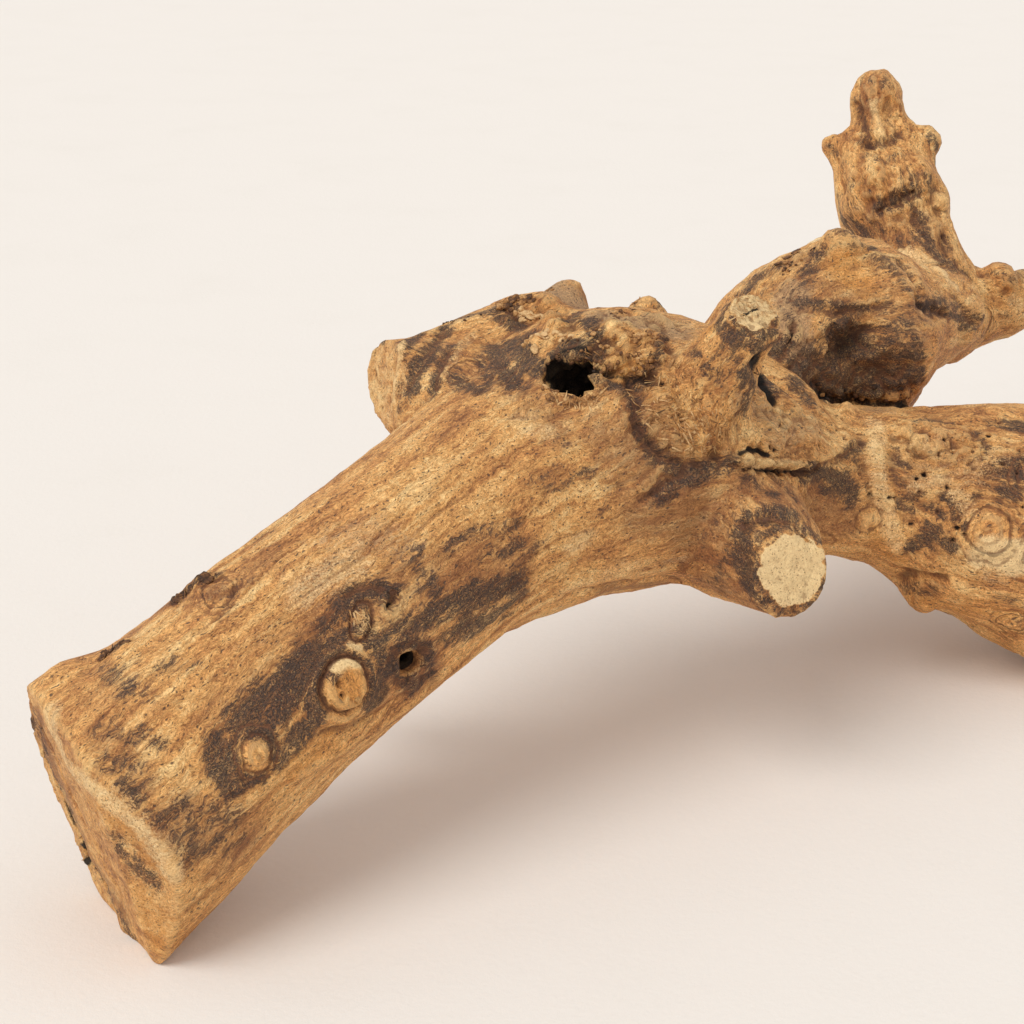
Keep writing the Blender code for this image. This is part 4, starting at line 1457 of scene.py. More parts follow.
    def press_knots(self, skin: Skin) -> None:
        """Press every knot, hole and scar into the skin.

        Args:
            skin: The skin, which moves.
        """
        wobble = self.noise(Seed.KNOT)
        height = np.zeros(len(skin.points))
        for spot, normal, knot in self.knots:
            size = knot.radius
            near = skin.close_to(spot, 3.2 * size * knot.stretch)
            away = skin.points[near] - spot
            way = STEM.way_at(spot)
            long_way = way - normal * (way @ normal)
            long_way /= np.linalg.norm(long_way)
            cross_way = np.cross(normal, long_way)
            turn = math.radians(knot.lean)
            first = away @ (long_way * math.cos(turn) + cross_way * math.sin(turn)) / knot.stretch
            second = away @ (cross_way * math.cos(turn) - long_way * math.sin(turn))
            gap = np.hypot(first, second)
            shift = 0.22 * size * fall(0.0, 1.6 * size, gap)
            ring = np.hypot(first + shift, second - 0.6 * shift)
            waves = 0.22 * wobble.at(away / (0.9 * size) + spot)
            ring = ring * (1 + waves + 0.10 * wobble.at(away / 0.9))
            here = (np.abs(away @ normal) < 3.5 + size) & (skin.normals[near] @ normal > 0.1)
            r = ring / size
            fan = np.arctan2(second, first + 1.2 * size)
            height[near] += np.where(here, self.knot_shape(knot.kind, r, fan) * knot.depth, 0.0)
            nearer = here & (r < skin.knot_way[near]) & (r < 2.4)
            chosen = near[nearer]
            skin.knot_way[chosen] = r[nearer]
            fade = fall(1.4, 2.3, r[nearer])
            skin.ring_power[chosen] = fade * RING_SHADES[knot.kind]
            skin.rim_power[chosen] = fade * RIM_SHADES[knot.kind]
            for mark, power, core, end in KNOT_MARKS.get(knot.kind, ()):
                skin.paint(mark, near, np.where(here, power * fall(core, end, r), 0.0))
        skin.swell(height)

    @staticmethod
    def knot_shape(kind: KnotKind, r: np.ndarray, fan: np.ndarray) -> np.ndarray:
        """Give a knot's height for a depth of one.

        Args:
            kind: The knot's kind.
            r: How far each point is from its middle, in radii.
            fan: Each point's angle as seen from the knot's edge, in radians.

        Returns:
            The height at each point.
        """
        if kind is KnotKind.DISC:
            shape = fall(0.82, 1.02, r) - 0.6 * bell(1.14, 0.10, r)
            shape += 0.30 * bell(1.42, 0.14, r) - 0.22 * fall(0.0, 0.7, r)
            return shape + 0.12 * bell(0.62, 0.10, r)
        if kind is KnotKind.RINGS:
            shape = np.cos(r * 11.0) * 0.16 * fall(1.2, 2.0, r) + 0.5 * fall(0.0, 1.5, r)
            return shape - (0.55 * bell(1.05, 0.09, r) + 0.35 * bell(1.6, 0.10, r))
        if kind is KnotKind.HOLE:
            return 0.25 * bell(1.35, 0.25, r) - fall(0.35, 1.05, r)
        if kind is KnotKind.SCAR:
            shape = 0.7 * fall(0.4, 1.0, r) - 0.8 * bell(1.1, 0.14, r)
            return shape + 0.30 * np.sin(fan * 16.0) * fall(0.7, 1.05, r)
        return fall(0.2, 1.1, r) - 0.3 * bell(1.2, 0.16, r)

    def press_cuts(self, skin: Skin) -> None:
        """Mark the sawn and broken end faces, and tear those that broke.

        Args:
            skin: The skin, which moves.
        """
        self.cut = np.zeros(len(skin.points))
        everywhere = np.arange(len(skin.points))
        height = np.zeros(len(skin.points))
        tear = self.noise(Seed.TEAR)
        edge = self.noise(Seed.CUT_EDGE).layers(skin.points / 2.2, 2)
        for saw in SAW_CUTS:
            point = np.array(saw.point) + PLACE
            way = unit(np.array(saw.way))
            away = skin.points - point
            off = np.abs(away @ way)
            gap = np.linalg.norm(away, axis=1)
            faces_out = skin.normals @ way > 0.75
            flat = fall(0.5, 1.3, off + 0.7 * edge) * faces_out * (gap < saw.reach * 1.6)
            self.cut = np.maximum(self.cut, flat)
            skin.marks[Mark.GREY] *= 1 - flat
            skin.marks[Mark.STAIN] *= 1 - 0.8 * flat * ease(0.2, 0.6, saw.pale)
            depth = -(away @ way) + 1.5 * edge
            collar = ease(0.4, 1.2, depth) * fall(2.5, 5.0, depth) * (gap < 1.7 * saw.reach)
            skin.paint(Mark.STAIN, everywhere, collar * saw.collar)
            within = fall(saw.reach - 0.6, saw.reach, gap + 1.6 * edge)
            skin.paint(Mark.FRESH, everywhere, flat * within * saw.pale)
            skin.paint(Mark.STAIN, everywhere, flat * (1 - within) * saw.collar)
            if saw.torn:
                fray = 0.4 - 1.6 * np.abs(tear.at(skin.points / 1.2)) + 0.9 * tear.at(skin.points / 3.0)
                height += saw.torn * fray * flat
        skin.swell(height)

    def line_hollows(self, skin: Skin) -> None:
        """Blacken the rotted hollows' walls with painted shade and rot, and round and crumble their rims.

        Args:
            skin: The skin, which moves at the rims.
        """
        everywhere = np.arange(len(skin.points))
        for hollow in HOLLOWS:
            gap, _ = hollow.measure(skin.points, self.hollow_reach)
            size = hollow.radius[0]
            rim = 0.5 * fall(0.5, 2.0, np.abs(gap))[:, None]
            for _ in range(self.rim_rounds):
                skin.points = skin.points + rim * (skin.mean_near(skin.points) - skin.points)
            # Painted shade, with the dark of rot, on the walls and inside.
            skin.paint(Mark.ROT_AND_SHADE, everywhere, fall(0.2, 0.1 + 0.3 * size, gap))
            skin.paint(Mark.CRUST, everywhere, fall(0.3 * size, size, gap) * min(1.0, size / 4))
        skin.face_normals()

    def roughen(self, skin: Skin) -> None:
        """Add crumbly rot, worm holes painted dark inside as shade, cracks and the fine roughness.

        Args:
            skin: The skin, which moves.
        """
        fine = self.noise(Seed.FINE)
        pits = self.noise(Seed.PITS)
        crust = skin.marks[Mark.CRUST]
        lumps = np.abs(fine.at(skin.points / 4.2)) * 3.0 - 0.6
        gap, owner = pits.cells(skin.points / 2.3 + 5.0)
        crumbs = (0.62 - gap) * (0.5 + owner)
        height = crust * (1.1 * lumps + 1.6 * crumbs)
        height += skin.marks[Mark.GNARL] * 0.5 * (0.32 - 1.6 * np.abs(fine.at(skin.points / 2.9 + 30.0)))
        calm = 1.0 - 0.85 * self.cut
        gap, owner = pits.cells(skin.points / 2.6)
        hole = fall(0.14, 0.30, gap) * (owner > 0.45) * skin.marks[Mark.PITS]
        height -= 1.0 * hole
        # The worm holes are painted dark inside: painted shade.
        skin.paint(Mark.ROT_AND_SHADE, np.arange(len(hole)), 0.75 * hole)
        gap, owner = pits.cells(self.grain / [4.2, 4.2, 9.0] + 3.0)
        height -= 0.30 * fall(0.05, 0.16, gap) * (owner > 0.5) * calm
        crack = np.abs(fine.at(self.grain / [6.5, 6.5, 60.0] + 21.0))
        wet = ease(0.0, 0.25, fine.at(self.grain / [20.0, 20.0, 50.0] + 2.0))
        height -= 0.45 * fall(0.0, 0.035, crack) * wet * calm
        height += 0.18 * fine.at(self.grain / [1.3, 1.3, 6.0]) * calm
        height += 0.13 * fine.layers(skin.points / 1.6, 2)
        skin.swell(height)

    def sense_hollows(self, skin: Skin) -> None:
        """Store how far each point stands over or under the smoothed skin around it.

        Args:
            skin: The finished skin.
        """
        # The finish paints shade into the dips that these heights find.
        calm = skin.points
        heights = []
        for rounds in (self.near_rounds, self.wide_rounds):
            for _ in range(rounds):
                calm = calm + self.calming * (skin.mean_near(calm) - calm)
            heights.append(((skin.points - calm) * skin.normals).sum(1))
        self.relief, self.relief_wide = heights

    def fit_in_box(self, skin: Skin) -> None:
        """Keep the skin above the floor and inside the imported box, with a little margin.

        Args:
            skin: The finished skin.
        """
        low = np.array(CAD_BOX[0]) / MM - self.box_margin
        high = np.array(CAD_BOX[1]) / MM + self.box_margin
        low[2] = self.least_floor
        skin.points = np.clip(skin.points, low, high)

    def to_mesh(self, skin: Skin) -> bpy.types.Object:
        """Make the piece, with fewer triangles where the skin is calm.

        Args:
            skin: The finished skin.

        Returns:
            The piece.
        """
        mesh = bpy.data.meshes.new("mulberry_wood")
        mesh.vertices.add(len(skin.points))
        mesh.vertices.foreach_set("co", (skin.points * MM).astype(np.float32).ravel())
        count = len(skin.faces)
        mesh.loops.add(count * 4)
        mesh.loops.foreach_set("vertex_index", skin.faces.astype(np.int32).ravel())
        mesh.polygons.add(count)
        mesh.polygons.foreach_set("loop_start", np.arange(0, count * 4, 4, dtype=np.int32))
        mesh.update(calc_edges=True)
        self.store_marks(mesh, skin)
        wood = add_object("mulberry_wood", mesh)
        group = wood.vertex_groups.new(name="keep")
        toward = unit(np.array(CAMERA.place) - skin.points)
        facing = (toward * skin.normals).sum(1)
        for level in range(self.keep_levels):
            chosen = np.flatnonzero(facing > -0.1 + level / self.keep_levels)
            group.add(chosen.tolist(), (level + 1) / self.keep_levels, "REPLACE")
        fewer = wood.modifiers.new("fewer_triangles", "DECIMATE")
        fewer.ratio = self.triangles / (2 * count)
        fewer.vertex_group = "keep"
        fewer.invert_vertex_group = True
        fewer.vertex_group_factor = self.keep_factor
        seen = wood.evaluated_get(bpy.context.evaluated_depsgraph_get())
        final = bpy.data.meshes.new_from_object(seen)
        wood.modifiers.clear()
        wood.vertex_groups.clear()
        wood.data = final
        final.name = "mulberry_wood"
        rows = np.empty(len(final.vertices) * 3, np.float32)
        final.vertices.foreach_get("co", rows)
        rows[2::3] = np.maximum(rows[2::3], 0.0)
        final.vertices.foreach_set("co", rows)
        final.polygons.foreach_set("use_smooth", np.ones(len(final.polygons), bool))
        return wood

    def store_marks(self, mesh: bpy.types.Mesh, skin: Skin) -> None:
        """Keep the grain and the marks in the mesh, three numbers a point under each name.

        Args:
            mesh: The skin's mesh.
            skin: The finished skin.
        """
        marks = skin.marks
        rows = {f"grain_{layer.value}": self.places[layer].T for layer in Layer}
        rows["turns"] = (self.side_share, self.twig_share, self.cut)
        rows["stains"] = (marks[Mark.STAIN], marks[Mark.UMBER], marks[Mark.GREY])
        rows["tones"] = (marks[Mark.FRESH], marks[Mark.ROT_AND_SHADE], marks[Mark.AMBER])
        rows["knots"] = (skin.knot_way, skin.ring_power, skin.rim_power)
        rows["relief"] = (self.relief, self.relief_wide, marks[Mark.CRUST])
        for name, columns in rows.items():
            layer = mesh.attributes.new(name, "FLOAT_VECTOR", "POINT")
            layer.data.foreach_set("vector", np.column_stack(columns).astype(np.float32).ravel())

    def build(self) -> tuple[bpy.types.Object, Skin]:
        """Grow, press and mark the skin, and make the piece.

        Returns:
            The piece, not yet dressed, and its skin.
        """
        self.find_far_spots()
        self.find_knots()
        skin = self.grow(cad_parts[NODE])
        LOG.info("skin grown: %d points", len(skin.points))
        self.brush(skin)
        self.line_hollows(skin)
        self.follow_grain(skin)
        LOG.info("grain and marks laid")
        self.shape_lumps(skin)
        self.press_grooves(skin)
        self.press_cuts(skin)
        self.press_knots(skin)
        self.roughen(skin)
        LOG.info("relief pressed")
        self.sense_hollows(skin)
        self.fit_in_box(skin)
        wood = self.to_mesh(skin)
        LOG.info("wood: %d faces", len(wood.data.polygons))
        return wood, skin

    def dress(self, wood: bpy.types.Object, finish: "WoodFinish") -> None:
        """Give the wood its finish and its place in the frame.

        Args:
            wood: The piece.
            finish: The wood's finish.
        """
        wood.data.materials.clear()
        wood.data.materials.append(finish.material())
        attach(wood, BODY)
        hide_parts(NODE)


# The least and the greatest thickness of a crumb and of a flake, for a half length of one.
CRUMB_THIN = (0.5, 0.8)
FLAKE_THIN = (0.10, 0.18)


@dataclass
class Litter:
    """Crumbs, bark flakes and torn fibres, which are closed bits sunk a little into the wood.

    No bit lies on wood that is darker with rot and painted shade than the darkest allowed, and a bit's
    tone is drawn within the tone range of its scatter's.
    """

    sight: Sight
    skin: Skin
    seed: int = 77
    darkest_rot_and_shade: float = 0.6
    tone_range: float = 0.18
    round_shape: tuple[np.ndarray, np.ndarray] = field(init=False)

    def __post_init__(self) -> None:
        """Keep the round shape from which crumbs and flakes are bent."""
        body = bmesh.new()
        bmesh.ops.create_icosphere(body, subdivisions=2, radius=1.0)
        points = np.array([vert.co for vert in body.verts])
        faces = np.array([[vert.index for vert in face.verts] for face in body.faces])
        body.free()
        self.round_shape = (points, faces)

    def lump(self, draw: np.random.Generator, shake: Noise,
             thin: float) -> tuple[np.ndarray, np.ndarray]:
        """Shape a crumb, or a flake where it is thin.

        Args:
            draw: The random draws.
            shake: The noise that dents it.
            thin: Its thickness for a half length of one.

        Returns:
            Rows of ahead, aside, up, and the triangles.
        """
        points, faces = self.round_shape
        start = draw.random(3) * 90
        dent = 1.0 + 0.55 * shake.at(points * 1.1 + start) + 0.35 * shake.at(points * 2.7 + start)
        points = points * dent[:, None] * [1.0, draw.uniform(0.55, 0.9), thin]
        points[:, 2] += draw.uniform(-0.1, 0.5) * (1.0 - thin) * points[:, 0] ** 2
        return points, faces

    @staticmethod
    def fibre(draw: np.random.Generator) -> tuple[np.ndarray, np.ndarray]:
        """Shape a tapered, bent fibre of half length one, which starts below the skin.

        Args:
            draw: The random draws.

        Returns:
            Rows of ahead, aside, up, and the triangles.
        """
        sides = 5
        rings = 5
        thick = draw.uniform(0.07, 0.17)
        lift = draw.uniform(0.05, 0.55)
        bend = draw.uniform(-0.5, 0.5)
        points = []
        for ring in range(rings):
            t = ring / (rings - 1)
            size = thick * (1.0 - 0.85 * t ** 1.5)
            for side in range(sides):
                angle = side / sides * math.tau
                points.append((
                    -1.0 + 2.0 * t,
                    bend * t * t + 1.6 * size * math.cos(angle),
                    -0.12 + 2.0 * lift * t + size * math.sin(angle),
                ))
        faces = []
        for ring in range(rings - 1):
            for side in range(sides):
                first = ring * sides + side
                second = ring * sides + (side + 1) % sides
                faces.append((first, second, second + sides))
                faces.append((first, second + sides, first + sides))
        last = (rings - 1) * sides
        for side in range(1, sides - 1):
            faces.append((0, side + 1, side))
            faces.append((last, last + side, last + side + 1))
        return np.array(points), np.array(faces)

    def build(self, kind: ChipKind) -> bpy.types.Object:
        """Make one piece of all the bits of a kind.

        Args:
            kind: The kind.

        Returns:
            The piece, not yet dressed.
        """
        draw = np.random.default_rng(self.seed)
        shake = Noise(self.seed)
        points = []
        faces = []
        tones = []
        total = 0
        for scatter in SCATTERS[kind]:
            trail = self.sight.trail(scatter.path)
            found = [near for near, _, _ in self.skin.along(trail, scatter.wide)]
            if not found:
                continue
            numbers = np.unique(np.concatenate(found))
            numbers = numbers[self.skin.marks[Mark.ROT_AND_SHADE][numbers] < self.darkest_rot_and_shade]
            for number in draw.choice(numbers, min(scatter.count, len(numbers)), replace=False):
                if kind is ChipKind.SPLINTER:
                    shape, corners = self.fibre(draw)
                else:
                    thin = draw.uniform(*(CRUMB_THIN if kind is ChipKind.CRUMB else FLAKE_THIN))
                    shape, corners = self.lump(draw, shake, thin)
                    shape[:, 2] += 0.15 * thin
                if kind is ChipKind.FLAKE:
                    shape[:, 2] += draw.uniform(0.0, 0.35) * (shape[:, 0] + 0.8)
                size = draw.uniform(*scatter.size) / 2
                normal = self.skin.normals[number]
                ahead = lean_way(scatter.lean + draw.uniform(-1, 1) * scatter.spread)
                ahead = unit(ahead - normal * (ahead @ normal) + 1e-6)
                aside = np.cross(normal, ahead)
                points.append(self.skin.points[number] + size * shape @ np.array([ahead, aside, normal]))
                faces.append(corners + total)
                tone = np.clip(scatter.tone + draw.uniform(-self.tone_range, self.tone_range), 0, 1)
                tones.append(np.full(len(shape), tone))
                total += len(shape)
        return self.to_mesh(kind.value, np.vstack(points), np.vstack(faces), np.concatenate(tones))

    @staticmethod
    def to_mesh(name: str, points: np.ndarray, faces: np.ndarray, tones: np.ndarray) -> bpy.types.Object:
        """Make the piece of a kind.

        Args:
            name: The piece's name.
            points: Rows of x, y, z in millimetres.
            faces: The triangles.
            tones: A tone a point.

        Returns:
            The piece.
        """
        mesh = bpy.data.meshes.new(name)
        points[:, 2] = np.maximum(points[:, 2], 0.05)
        mesh.from_pydata((points * MM).tolist(), [], faces.tolist())
        layer = mesh.attributes.new("bit_tone", "FLOAT", "POINT")
        layer.data.foreach_set("value", tones.astype(np.float32))
        mesh.polygons.foreach_set("use_smooth", np.ones(len(mesh.polygons), bool))
        bits = add_object(name, mesh)
        LOG.info("piece %s: %d faces", name, len(mesh.polygons))
        return bits

    def dress(self, bits: bpy.types.Object, material: bpy.types.Material) -> None:
        """Give the bits their finish and let them ride on the root."""
        bits.data.materials.append(material)
        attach(bits, BODY)


class Board:
    """A material's node tree, with one method that adds any node."""

    def __init__(self, name: str) -> None:
        """Start an empty material."""
        self.material = bpy.data.materials.new(name)
        self.material.use_nodes = True
        self.tree = self.material.node_tree
        self.tree.nodes.clear()

    def node(self, kind: str, settings: dict[str, Any] | None = None,
             sockets: dict[str | int, Any] | None = None) -> bpy.types.Node:
        """Add one node: its settings first, then its sockets.

        Args:
            kind: The node's type.
            settings: Its settings by name; "stops" are a ramp's places and colours.
            sockets: Values or links by the input's name or number.

        Returns:
            The node.
        """
        made = self.tree.nodes.new(kind)
        for name, value in (settings or {}).items():
            if name == "stops":
                ramp = made.color_ramp
                while len(ramp.elements) < len(value):
                    ramp.elements.new(0.5)
                for stop, (place, colour) in zip(ramp.elements, value):
                    stop.position = place
                    stop.color = colour
            else:
                setattr(made, name, value)
        for key, value in (sockets or {}).items():
            if isinstance(value, Signal):
                value = value.socket
            if isinstance(value, bpy.types.NodeSocket):
                self.tree.links.new(value, made.inputs[key])
            else:
                made.inputs[key].default_value = value
        return made

    def maths(self, operation: str, *values: Any) -> "Signal":
        """Add a Math node on up to three numbers or signals."""
        made = self.node("ShaderNodeMath", {"operation": operation}, dict(enumerate(values)))
        return Signal(self, made.outputs[0])

    def attribute(self, name: str, output: str = "Vector") -> bpy.types.NodeSocket:
        """Read what each point keeps under a name: three numbers, or one where the output is Fac."""
        settings = {"attribute_type": "GEOMETRY", "attribute_name": name}
        return self.node("ShaderNodeAttribute", settings).outputs[output]

    def parts(self, vector: bpy.types.NodeSocket) -> tuple["Signal", "Signal", "Signal"]:
        """Split a vector into its three numbers."""
        made = self.node("ShaderNodeSeparateXYZ", {}, {0: vector})
        return tuple(Signal(self, output) for output in made.outputs)

    def vector(self, operation: str, *values: Any) -> bpy.types.NodeSocket:
        """Add a Vector Math node."""
        made = self.node("ShaderNodeVectorMath", {"operation": operation}, dict(enumerate(values)))
        return made.outputs[0]

    def pick(self, first: Any, second: Any, factor: Any) -> bpy.types.NodeSocket:
        """Mix two vectors."""
        made = self.node("ShaderNodeMix", {"data_type": "VECTOR"}, {0: factor, 4: first, 5: second})
        return made.outputs[1]

    def blend(self, first: Any, second: Any, factor: Any) -> bpy.types.NodeSocket:
        """Mix two colours."""
        made = self.node("ShaderNodeMix", {"data_type": "RGBA"}, {0: factor, 6: first, 7: second})
        return made.outputs[2]

    def tint(self, base: Any, code: str, factor: Any) -> bpy.types.NodeSocket:
        """Mix a screen colour over a colour."""
        return self.blend(base, hex_colour(code), factor)

    def scale(self, colour: Any, factor: Any) -> bpy.types.NodeSocket:
        """Make a colour lighter or darker by a factor."""
        sockets = {"Vector": colour, "Scale": factor}
        return self.node("ShaderNodeVectorMath", {"operation": "SCALE"}, sockets).outputs[0]

    def place(self) -> bpy.types.NodeSocket:
        """Read the place on the piece, in millimetres."""
        metres = self.node("ShaderNodeTexCoord").outputs["Object"]
        return self.vector("MULTIPLY", metres, (1 / MM, 1 / MM, 1 / MM))

    def ramp(self, factor: "Signal", stops: Sequence[tuple[float, str]]) -> bpy.types.NodeSocket:
        """Turn a number into a colour between stops, each a number and a screen colour."""
        colours = [(number, hex_colour(code)) for number, code in stops]
        return self.node("ShaderNodeValToRGB", {"stops": colours}, {0: factor}).outputs[0]

    def cells(self, where: Any, rate: float) -> tuple["Signal", tuple["Signal", "Signal", "Signal"]]:
        """Read round cells: how far the nearest middle is, and three numbers that are the cell's own."""
        made = self.node("ShaderNodeTexVoronoi", {"feature": "F1"}, {"Vector": where, "Scale": rate})
        return Signal(self, made.outputs["Distance"]), self.parts(made.outputs["Color"])

    def noise(self, where: Any, rate: float, detail: float = 2.0, rough: float = 0.5,
              bend: float = 0.0) -> "Signal":
        """Read smooth noise.

        Args:
            where: The place.
            rate: Waves a unit.
            detail: Finer layers.
            rough: How strong they are.
            bend: How far the noise bends itself.

        Returns:
            The noise, about 0 in the mean, from -0.5 to 0.5.
        """
        made = self.node("ShaderNodeTexNoise", {}, {
            "Vector": where, "Scale": rate, "Detail": detail, "Roughness": rough, "Distortion": bend,
        })
        return Signal(self, made.outputs[0]) - 0.5

    def finish(self, colour: Any, rough: Any, shine: float, height: "Signal", deep: float,
               strength: float = 1.0) -> bpy.types.Material:
        """End the material in its shader over a bump.

        Args:
            colour: The base colour.
            rough: The roughness.
            shine: The specular level.
            height: The bump's height.
            deep: How deep a height of one is, in metres.
            strength: How much of the bump shows.

        Returns:
            The material.
        """
        bump = self.node("ShaderNodeBump", {}, {"Strength": strength, "Distance": deep, "Height": height})
        shader = self.node("ShaderNodeBsdfPrincipled", {}, {
            "Base Color": colour,
            "Roughness": rough,
            "Specular IOR Level": shine,
            "Normal": bump.outputs[0],
        })
        self.node("ShaderNodeOutputMaterial", {}, {"Surface": shader.outputs[0]})
        return self.material


class Signal:
    """A number inside a material, which takes part in sums and products as usual."""

    def __init__(self, board: Board, socket: bpy.types.NodeSocket) -> None:
        """Hold one socket."""
        self.board = board
        self.socket = socket

    def __add__(self, other: Any) -> "Signal":
        """Add."""
        return self.board.maths("ADD", self, other)

    def __sub__(self, other: Any) -> "Signal":
        """Subtract."""
        return self.board.maths("SUBTRACT", self, other)

    def __rsub__(self, other: Any) -> "Signal":
        """Subtract this from another."""
        return self.board.maths("SUBTRACT", other, self)

    def __mul__(self, other: Any) -> "Signal":
        """Multiply."""
        return self.board.maths("MULTIPLY", self, other)

    def __gt__(self, other: Any) -> "Signal":
        """Give 1 where this is greater, else 0."""
        return self.board.maths("GREATER_THAN", self, other)

    __radd__ = __add__
    __rmul__ = __mul__

    def rise(self, low: float, high: float) -> "Signal":
        """Rise smoothly from 0 at low to 1 at high, or fall where low is the greater."""
        made = self.board.node("ShaderNodeMapRange", {"interpolation_type": "SMOOTHSTEP"}, {
            "Value": self, "From Min": min(low, high), "From Max": max(low, high),
        })
        grown = Signal(self.board, made.outputs[0])
        return grown if low < high else 1.0 - grown

    def high(self, other: Any) -> "Signal":
        """Take the greater of two."""
        return self.board.maths("MAXIMUM", self, other)

    def sine(self) -> "Signal":
        """Take the sine."""
        return self.board.maths("SINE", self)

    def size(self) -> "Signal":
        """Drop the sign."""
        return self.board.maths("ABSOLUTE", self)


@dataclass(frozen=True)
class WoodFinish:
    """Weathered mulberry wood: honey brown, streaked along its grain, stained, pitted and cut."""

    name: str = "weathered_mulberry_wood"
    pale: str = "F7CC8B"
    honey: str = "E4A965"
    tan: str = "C4874E"
    brown: str = "905B34"
    umber: str = "845438"
    slate: str = "53453D"
    char: str = "2F2521"
    # Near black of rot and of painted shade in the holes, cracks and crevices.
    rot_and_shade: str = "0C0806"
    grey: str = "BC9870"
    fresh: str = "FFDDA4"
    amber: str = "DA9445"
    dull: float = 0.62
    shine: float = 0.30
    deep: float = 0.00045

    def material(self) -> bpy.types.Material:
        """Build the wood's nodes.

        Returns:
            The material.
        """
        board = Board(self.name)
        place = board.place()
        side, twig, cut = board.parts(board.attribute("turns"))
        stain, umber, grey = board.parts(board.attribute("stains"))
        fresh, rot_and_shade, amber = board.parts(board.attribute("tones"))
        ring, ring_power, rim_power = board.parts(board.attribute("knots"))
        relief, relief_wide, crust = board.parts(board.attribute("relief"))

        border = board.noise(place, 0.7, 2.0)
        stem_or_side = board.pick(
            board.attribute("grain_stem"), board.attribute("grain_side"), (side + border * 0.5) > 0.5)
        grain = board.pick(stem_or_side, board.attribute("grain_twig"), (twig + border * 0.5) > 0.5)
        wander = board.node("ShaderNodeTexNoise", {}, {"Vector": place, "Scale": 0.45, "Detail": 2.0})
        wander = board.vector("SUBTRACT", wander.outputs["Color"], (0.5, 0.5, 0.5))
        grain = board.vector("ADD", grain, board.vector("MULTIPLY", wander, (1.8, 1.8, 1.8)))

        longer_grain = board.vector("MULTIPLY", grain, (1.0, 1.0, 0.08))
        long_grain = board.vector("MULTIPLY", grain, (1.0, 1.0, 0.17))
        short_grain = board.vector("MULTIPLY", grain, (1.0, 1.0, 0.50))

        streak = board.noise(longer_grain, 0.42, 4.0, 0.62, 0.4)
        cloud = board.noise(place, 0.06, 5.0, 0.6, 0.4)
        fibre = board.noise(long_grain, 2.4, 3.0, 0.62, 0.4)
        dash = board.noise(short_grain, 4.4, 2.0, 0.65, 1.0)
        curl = board.noise(short_grain, 1.0, 3.0, 0.62, 1.6)
        patch = board.noise(long_grain, 0.55, 4.0, 0.68, 0.8)
        grit = board.noise(place, 2.8, 3.0, 0.7)

        tone = streak * 1.25 + cloud * 0.9 + fibre * 0.55 + curl * 0.45 + 0.52
        stops = ((0.14, self.brown), (0.36, self.tan), (0.56, self.honey), (0.82, self.pale))
        base = board.ramp(tone, stops)

        amber_edge = (amber + patch * 1.2).rise(0.25, 0.95)
        base = board.tint(base, self.amber, amber_edge * 0.55)
        red_edge = (umber + patch * 1.6 + curl * 0.9).rise(0.15, 0.95)
        base = board.tint(base, self.umber, red_edge * 0.62)
        grey_edge = (grey + curl * 1.2).rise(0.25, 0.85)
        base = board.tint(base, self.grey, grey_edge * 0.8)
        fresh_edge = (fresh + grit * 0.5 + patch * 0.5).rise(0.25, 0.70)
        mottle = (grit * 1.6 + curl * 1.2).rise(-0.35, 0.20)
        base = board.tint(base, self.fresh, fresh_edge * (mottle * 0.22 + 0.78))

        weave = dash * 2.1 + fibre * 0.8 + curl * 0.6 + grit * 0.9
        base = board.scale(base, weave * (1.0 - cut * 0.45) * (1.0 - fresh_edge * 0.55) + 1.0)

        wild = cloud.rise(0.05, 0.20) * 0.30
        edge = patch * 2.3 + curl * 2.3 + dash * 1.7
        level = stain.high(wild * (1.0 - cut)) * 1.32 - 0.80 + edge - fresh_edge * 1.2
        halo = (level + 0.30).rise(0.0, 0.50)
        base = board.tint(base, self.umber, halo * 0.50)
        dark = level.rise(-0.06, 0.16)
        fleck = (curl * 1.2 + dash * 1.6).rise(0.04, 0.20)
        charred = board.tint(hex_colour(self.char), self.slate, grit.rise(-0.15, 0.15))
        charred = board.blend(charred, base, fleck * 0.50)
        base = board.blend(base, charred, dark * 0.92)

        cell, cell_own = board.cells(short_grain, 1.5)
        pore = cell.rise(0.28, 0.14) * (cell_own[0] > 0.44)
        base = board.tint(base, self.slate, pore * (0.80 - cut * 0.25 - fresh_edge * 0.45))
        dot, dot_own = board.cells(place, 2.1)
        speck = dot.rise(0.38, 0.18) * (dot_own[1] > 0.62)
        base = board.tint(base, self.umber, speck * 0.6)
        spark = dot.rise(0.34, 0.12) * (dot_own[0] > 0.80)
        base = board.tint(base, self.pale, spark * 0.38)

        rings = (ring * 13.0 + curl * 5.0).sine().rise(0.25, 0.9) * ring_power
        base = board.tint(base, self.umber, rings * 0.62)
        rim = (ring + curl * 0.25 - 1.10).size().rise(0.10, 0.02) * rim_power
        base = board.tint(base, self.char, rim * 0.65)

        # Painted shade: darker in the skin's small dips and in its wide hollows.
        dip = relief.rise(-0.02, -0.20)
        base = board.tint(base, self.umber, dip * 0.48)
        hollow_shade = relief_wide.rise(-0.25, -1.0)
        base = board.tint(base, self.char, hollow_shade * 0.50)
        crest = relief.rise(0.05, 0.25)
        base = board.tint(base, self.pale, crest * 0.30 * (1.0 - dark))
        # Painted shade with the dark of rot: near black in the holes, cracks and crevices.
        rot_and_shade_mask = (rot_and_shade + grit * 0.5 + curl * 0.4).rise(0.28, 0.62)
        base = board.tint(base, self.rot_and_shade, rot_and_shade_mask * 0.96)

        height = (
            fibre * 0.55
            + dash * 0.45
            + curl * 0.45
            + grit * (crust * 0.8 + 0.25)
            - pore * 0.40
            - speck * 0.10
            - dark * 0.10
            - rings * 0.25
            - rim * 0.30
        )
        rough = fibre * 0.25 + dark * 0.08 + crust * 0.10 + self.dull
        return board.finish(base, rough, self.shine, height, self.deep)


